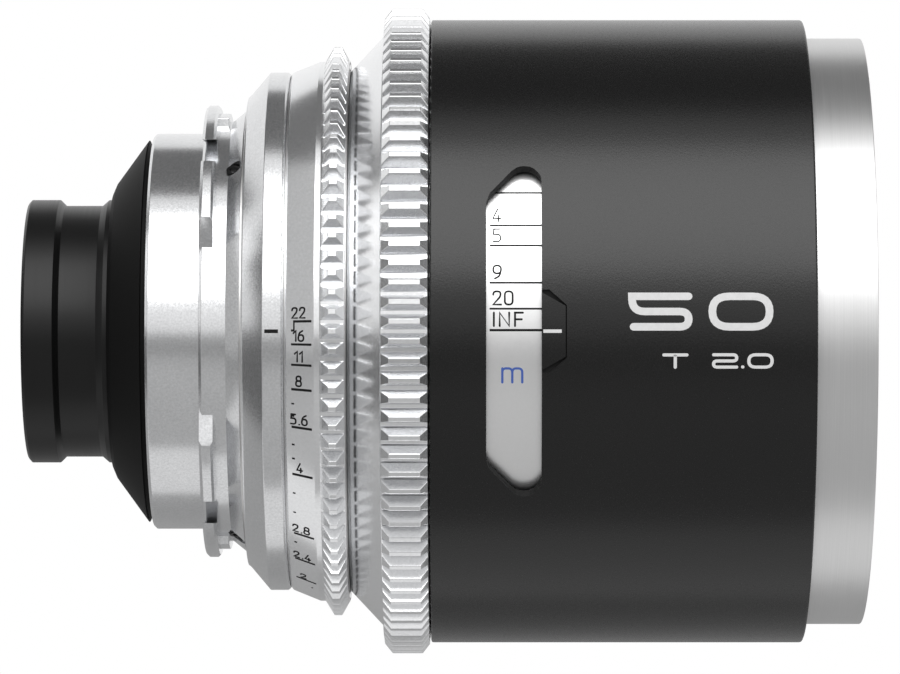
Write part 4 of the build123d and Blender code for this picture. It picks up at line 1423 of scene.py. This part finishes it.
# %% Floor
FLOOR_HEIGHT = -0.16
clear_selection()
bpy.ops.mesh.primitive_plane_add(size=8, location=(0, -2.4, FLOOR_HEIGHT))
floor = name_piece("floor")
floor_paint = Finish("floor_pale", metallic=0.0, roughness=0.9)
floor_paint.set_colour(floor_paint.noise(3, 2), grey(0.56), grey(0.60))
dress(floor, floor_paint)
show(floor_paint)

# %% [markdown]
# Each card faces the lens and glows a little. The camera, the floor and the glass don't
# see it, and it casts no shadow: it is there for the reflections in the metal alone.

# %% Cards
def card(name, place, size, level):
    """A card that faces the lens, lit to a level; it shows in reflections alone."""
    clear_selection()
    bpy.ops.mesh.primitive_plane_add(size=1, location=place)
    made = name_piece(name)
    made.scale = (size[0], size[1], 1)
    made.rotation_euler = (-Vector(place)).to_track_quat("Z", "Y").to_euler()
    settle()
    made.visible_camera = made.visible_diffuse = made.visible_shadow = False
    made.visible_transmission = False
    paper = Finish(name + "_paper", metallic=0.0, roughness=0.9, emission_strength=level)
    paper.set_colour(paper.noise(3, 2), grey(0.10), grey(0.12))
    paper.shader.inputs["Emission Color"].default_value = grey(1.0)
    dress(made, paper)
    print(name, "is", round(Vector(place).length, 2), "m away, lit to", level)


# Name, place and size in metres, level
card("overhead_card", (0, 0.28, 0.855), (3.2, 0.8), 0.13)
card("left_front_card", (-0.706, -0.408, 0.38), (0.8, 1.17), 0.48)
card("left_bright_card", (-0.849, 0.085, 0.286), (0.25, 0.24), 1.3)
card("left_rear_card", (-0.611, 0.339, 0.037), (0.55, 0.33), 0.01)
card("left_back_card", (-0.624, 0.268, 0.169), (0.22, 0.11), 0.02)
card("left_low_card", (-0.4745, 0.118, -0.104), (0.34, 0.22), 0.06)
card("right_rear_card", (0.85, 0.34, 0.05), (0.80, 0.60), 0.01)
card("under_card", (0, -0.018, -0.14), (3.0, 0.09), 0.75)

# %% [markdown]
# The room round the lens lights it at half strength. To the camera, in reflections and
# through the glass it is plain white, which gives the white background without any more
# light on the lens.

# %% World
ROOM_LEVEL = 0.5
world = bpy.data.worlds.new("studio")
bpy.context.scene.world = world
world.use_nodes = True
world_nodes = world.node_tree.nodes
world_links = world.node_tree.links
room = world_nodes["Background"]
room.inputs["Color"].default_value = grey(1.0)
room.inputs["Strength"].default_value = ROOM_LEVEL
white_view = world_nodes.new("ShaderNodeBackground")
white_view.inputs["Color"].default_value = grey(1.0)
white_view.inputs["Strength"].default_value = 1.0
light_path = world_nodes.new("ShaderNodeLightPath")
seen = light_path.outputs["Is Camera Ray"]
for ray in ("Is Glossy Ray", "Is Transmission Ray"):
    either = world_nodes.new("ShaderNodeMath")
    either.operation = "MAXIMUM"
    world_links.new(seen, either.inputs[0])
    world_links.new(light_path.outputs[ray], either.inputs[1])
    seen = either.outputs[0]
chooser = world_nodes.new("ShaderNodeMixShader")
world_links.new(seen, chooser.inputs[0])
world_links.new(room.outputs[0], chooser.inputs[1])
world_links.new(white_view.outputs[0], chooser.inputs[2])
world_links.new(chooser.outputs[0], world_nodes["World Output"].inputs["Surface"])
print("the world has", len(world_nodes), "nodes; the room's level is", ROOM_LEVEL)

# %% [markdown]
# ## The key lamp
#
# One large soft box hangs in front of the lens and above it. A grid narrows its beam, so
# that it lights the lens more than the floor.

# %% Key lamp
LAMP_PLACE = (0.04, -0.50, 0.48)
LAMP_AIM = (0.04, 0, 0)
clear_selection()
bpy.ops.object.light_add(type="AREA", location=LAMP_PLACE)
lamp = bpy.context.object
lamp.name = "key_lamp"
lamp.data.shape = "RECTANGLE"
lamp.data.size = 0.56
lamp.data.size_y = 0.64
lamp.data.energy = 1.75
lamp.data.spread = radians(140)
beam = Vector(LAMP_AIM) - Vector(LAMP_PLACE)
lamp.rotation_euler = beam.to_track_quat("-Z", "Y").to_euler()
print("the lamp is", round(beam.length, 2), "m away")

# %% [markdown]
# ## The camera
#
# The photograph was taken square to the optical axis, from 790 mm away. The point that
# the camera faces lies a little right of the middle of the frame and above it. Shifting
# the picture does that; turning the camera would make the upright edges lean.

# %% Camera
FRAME_WIDTH = 900
FRAME_HEIGHT = 674
CAMERA_DISTANCE = 789.6 * MM
PIXELS_PER_MM = 7.309
SENSOR_WIDTH = 36
# The point of the optical axis in front of the camera, and where it lies in the frame
FACED_X = 37.02
FACED_COLUMN = 478.6
FACED_ROW = 331.25
camera_data = bpy.data.cameras.new("camera")
camera = bpy.data.objects.new("camera", camera_data)
bpy.context.scene.collection.objects.link(camera)
camera_data.sensor_width = SENSOR_WIDTH
camera_data.lens = SENSOR_WIDTH * CAMERA_DISTANCE / (FRAME_WIDTH / PIXELS_PER_MM * MM)
camera_data.shift_x = -(FACED_COLUMN - FRAME_WIDTH / 2) / FRAME_WIDTH
camera_data.shift_y = (FACED_ROW - FRAME_HEIGHT / 2) / FRAME_WIDTH
camera.location = (FACED_X * MM, -CAMERA_DISTANCE, 0)
camera.rotation_euler = (pi / 2, 0, 0)
bpy.context.scene.camera = camera
bpy.context.scene.view_settings.view_transform = "Standard"
print("focal length of the camera:", round(camera_data.lens, 1), "mm")
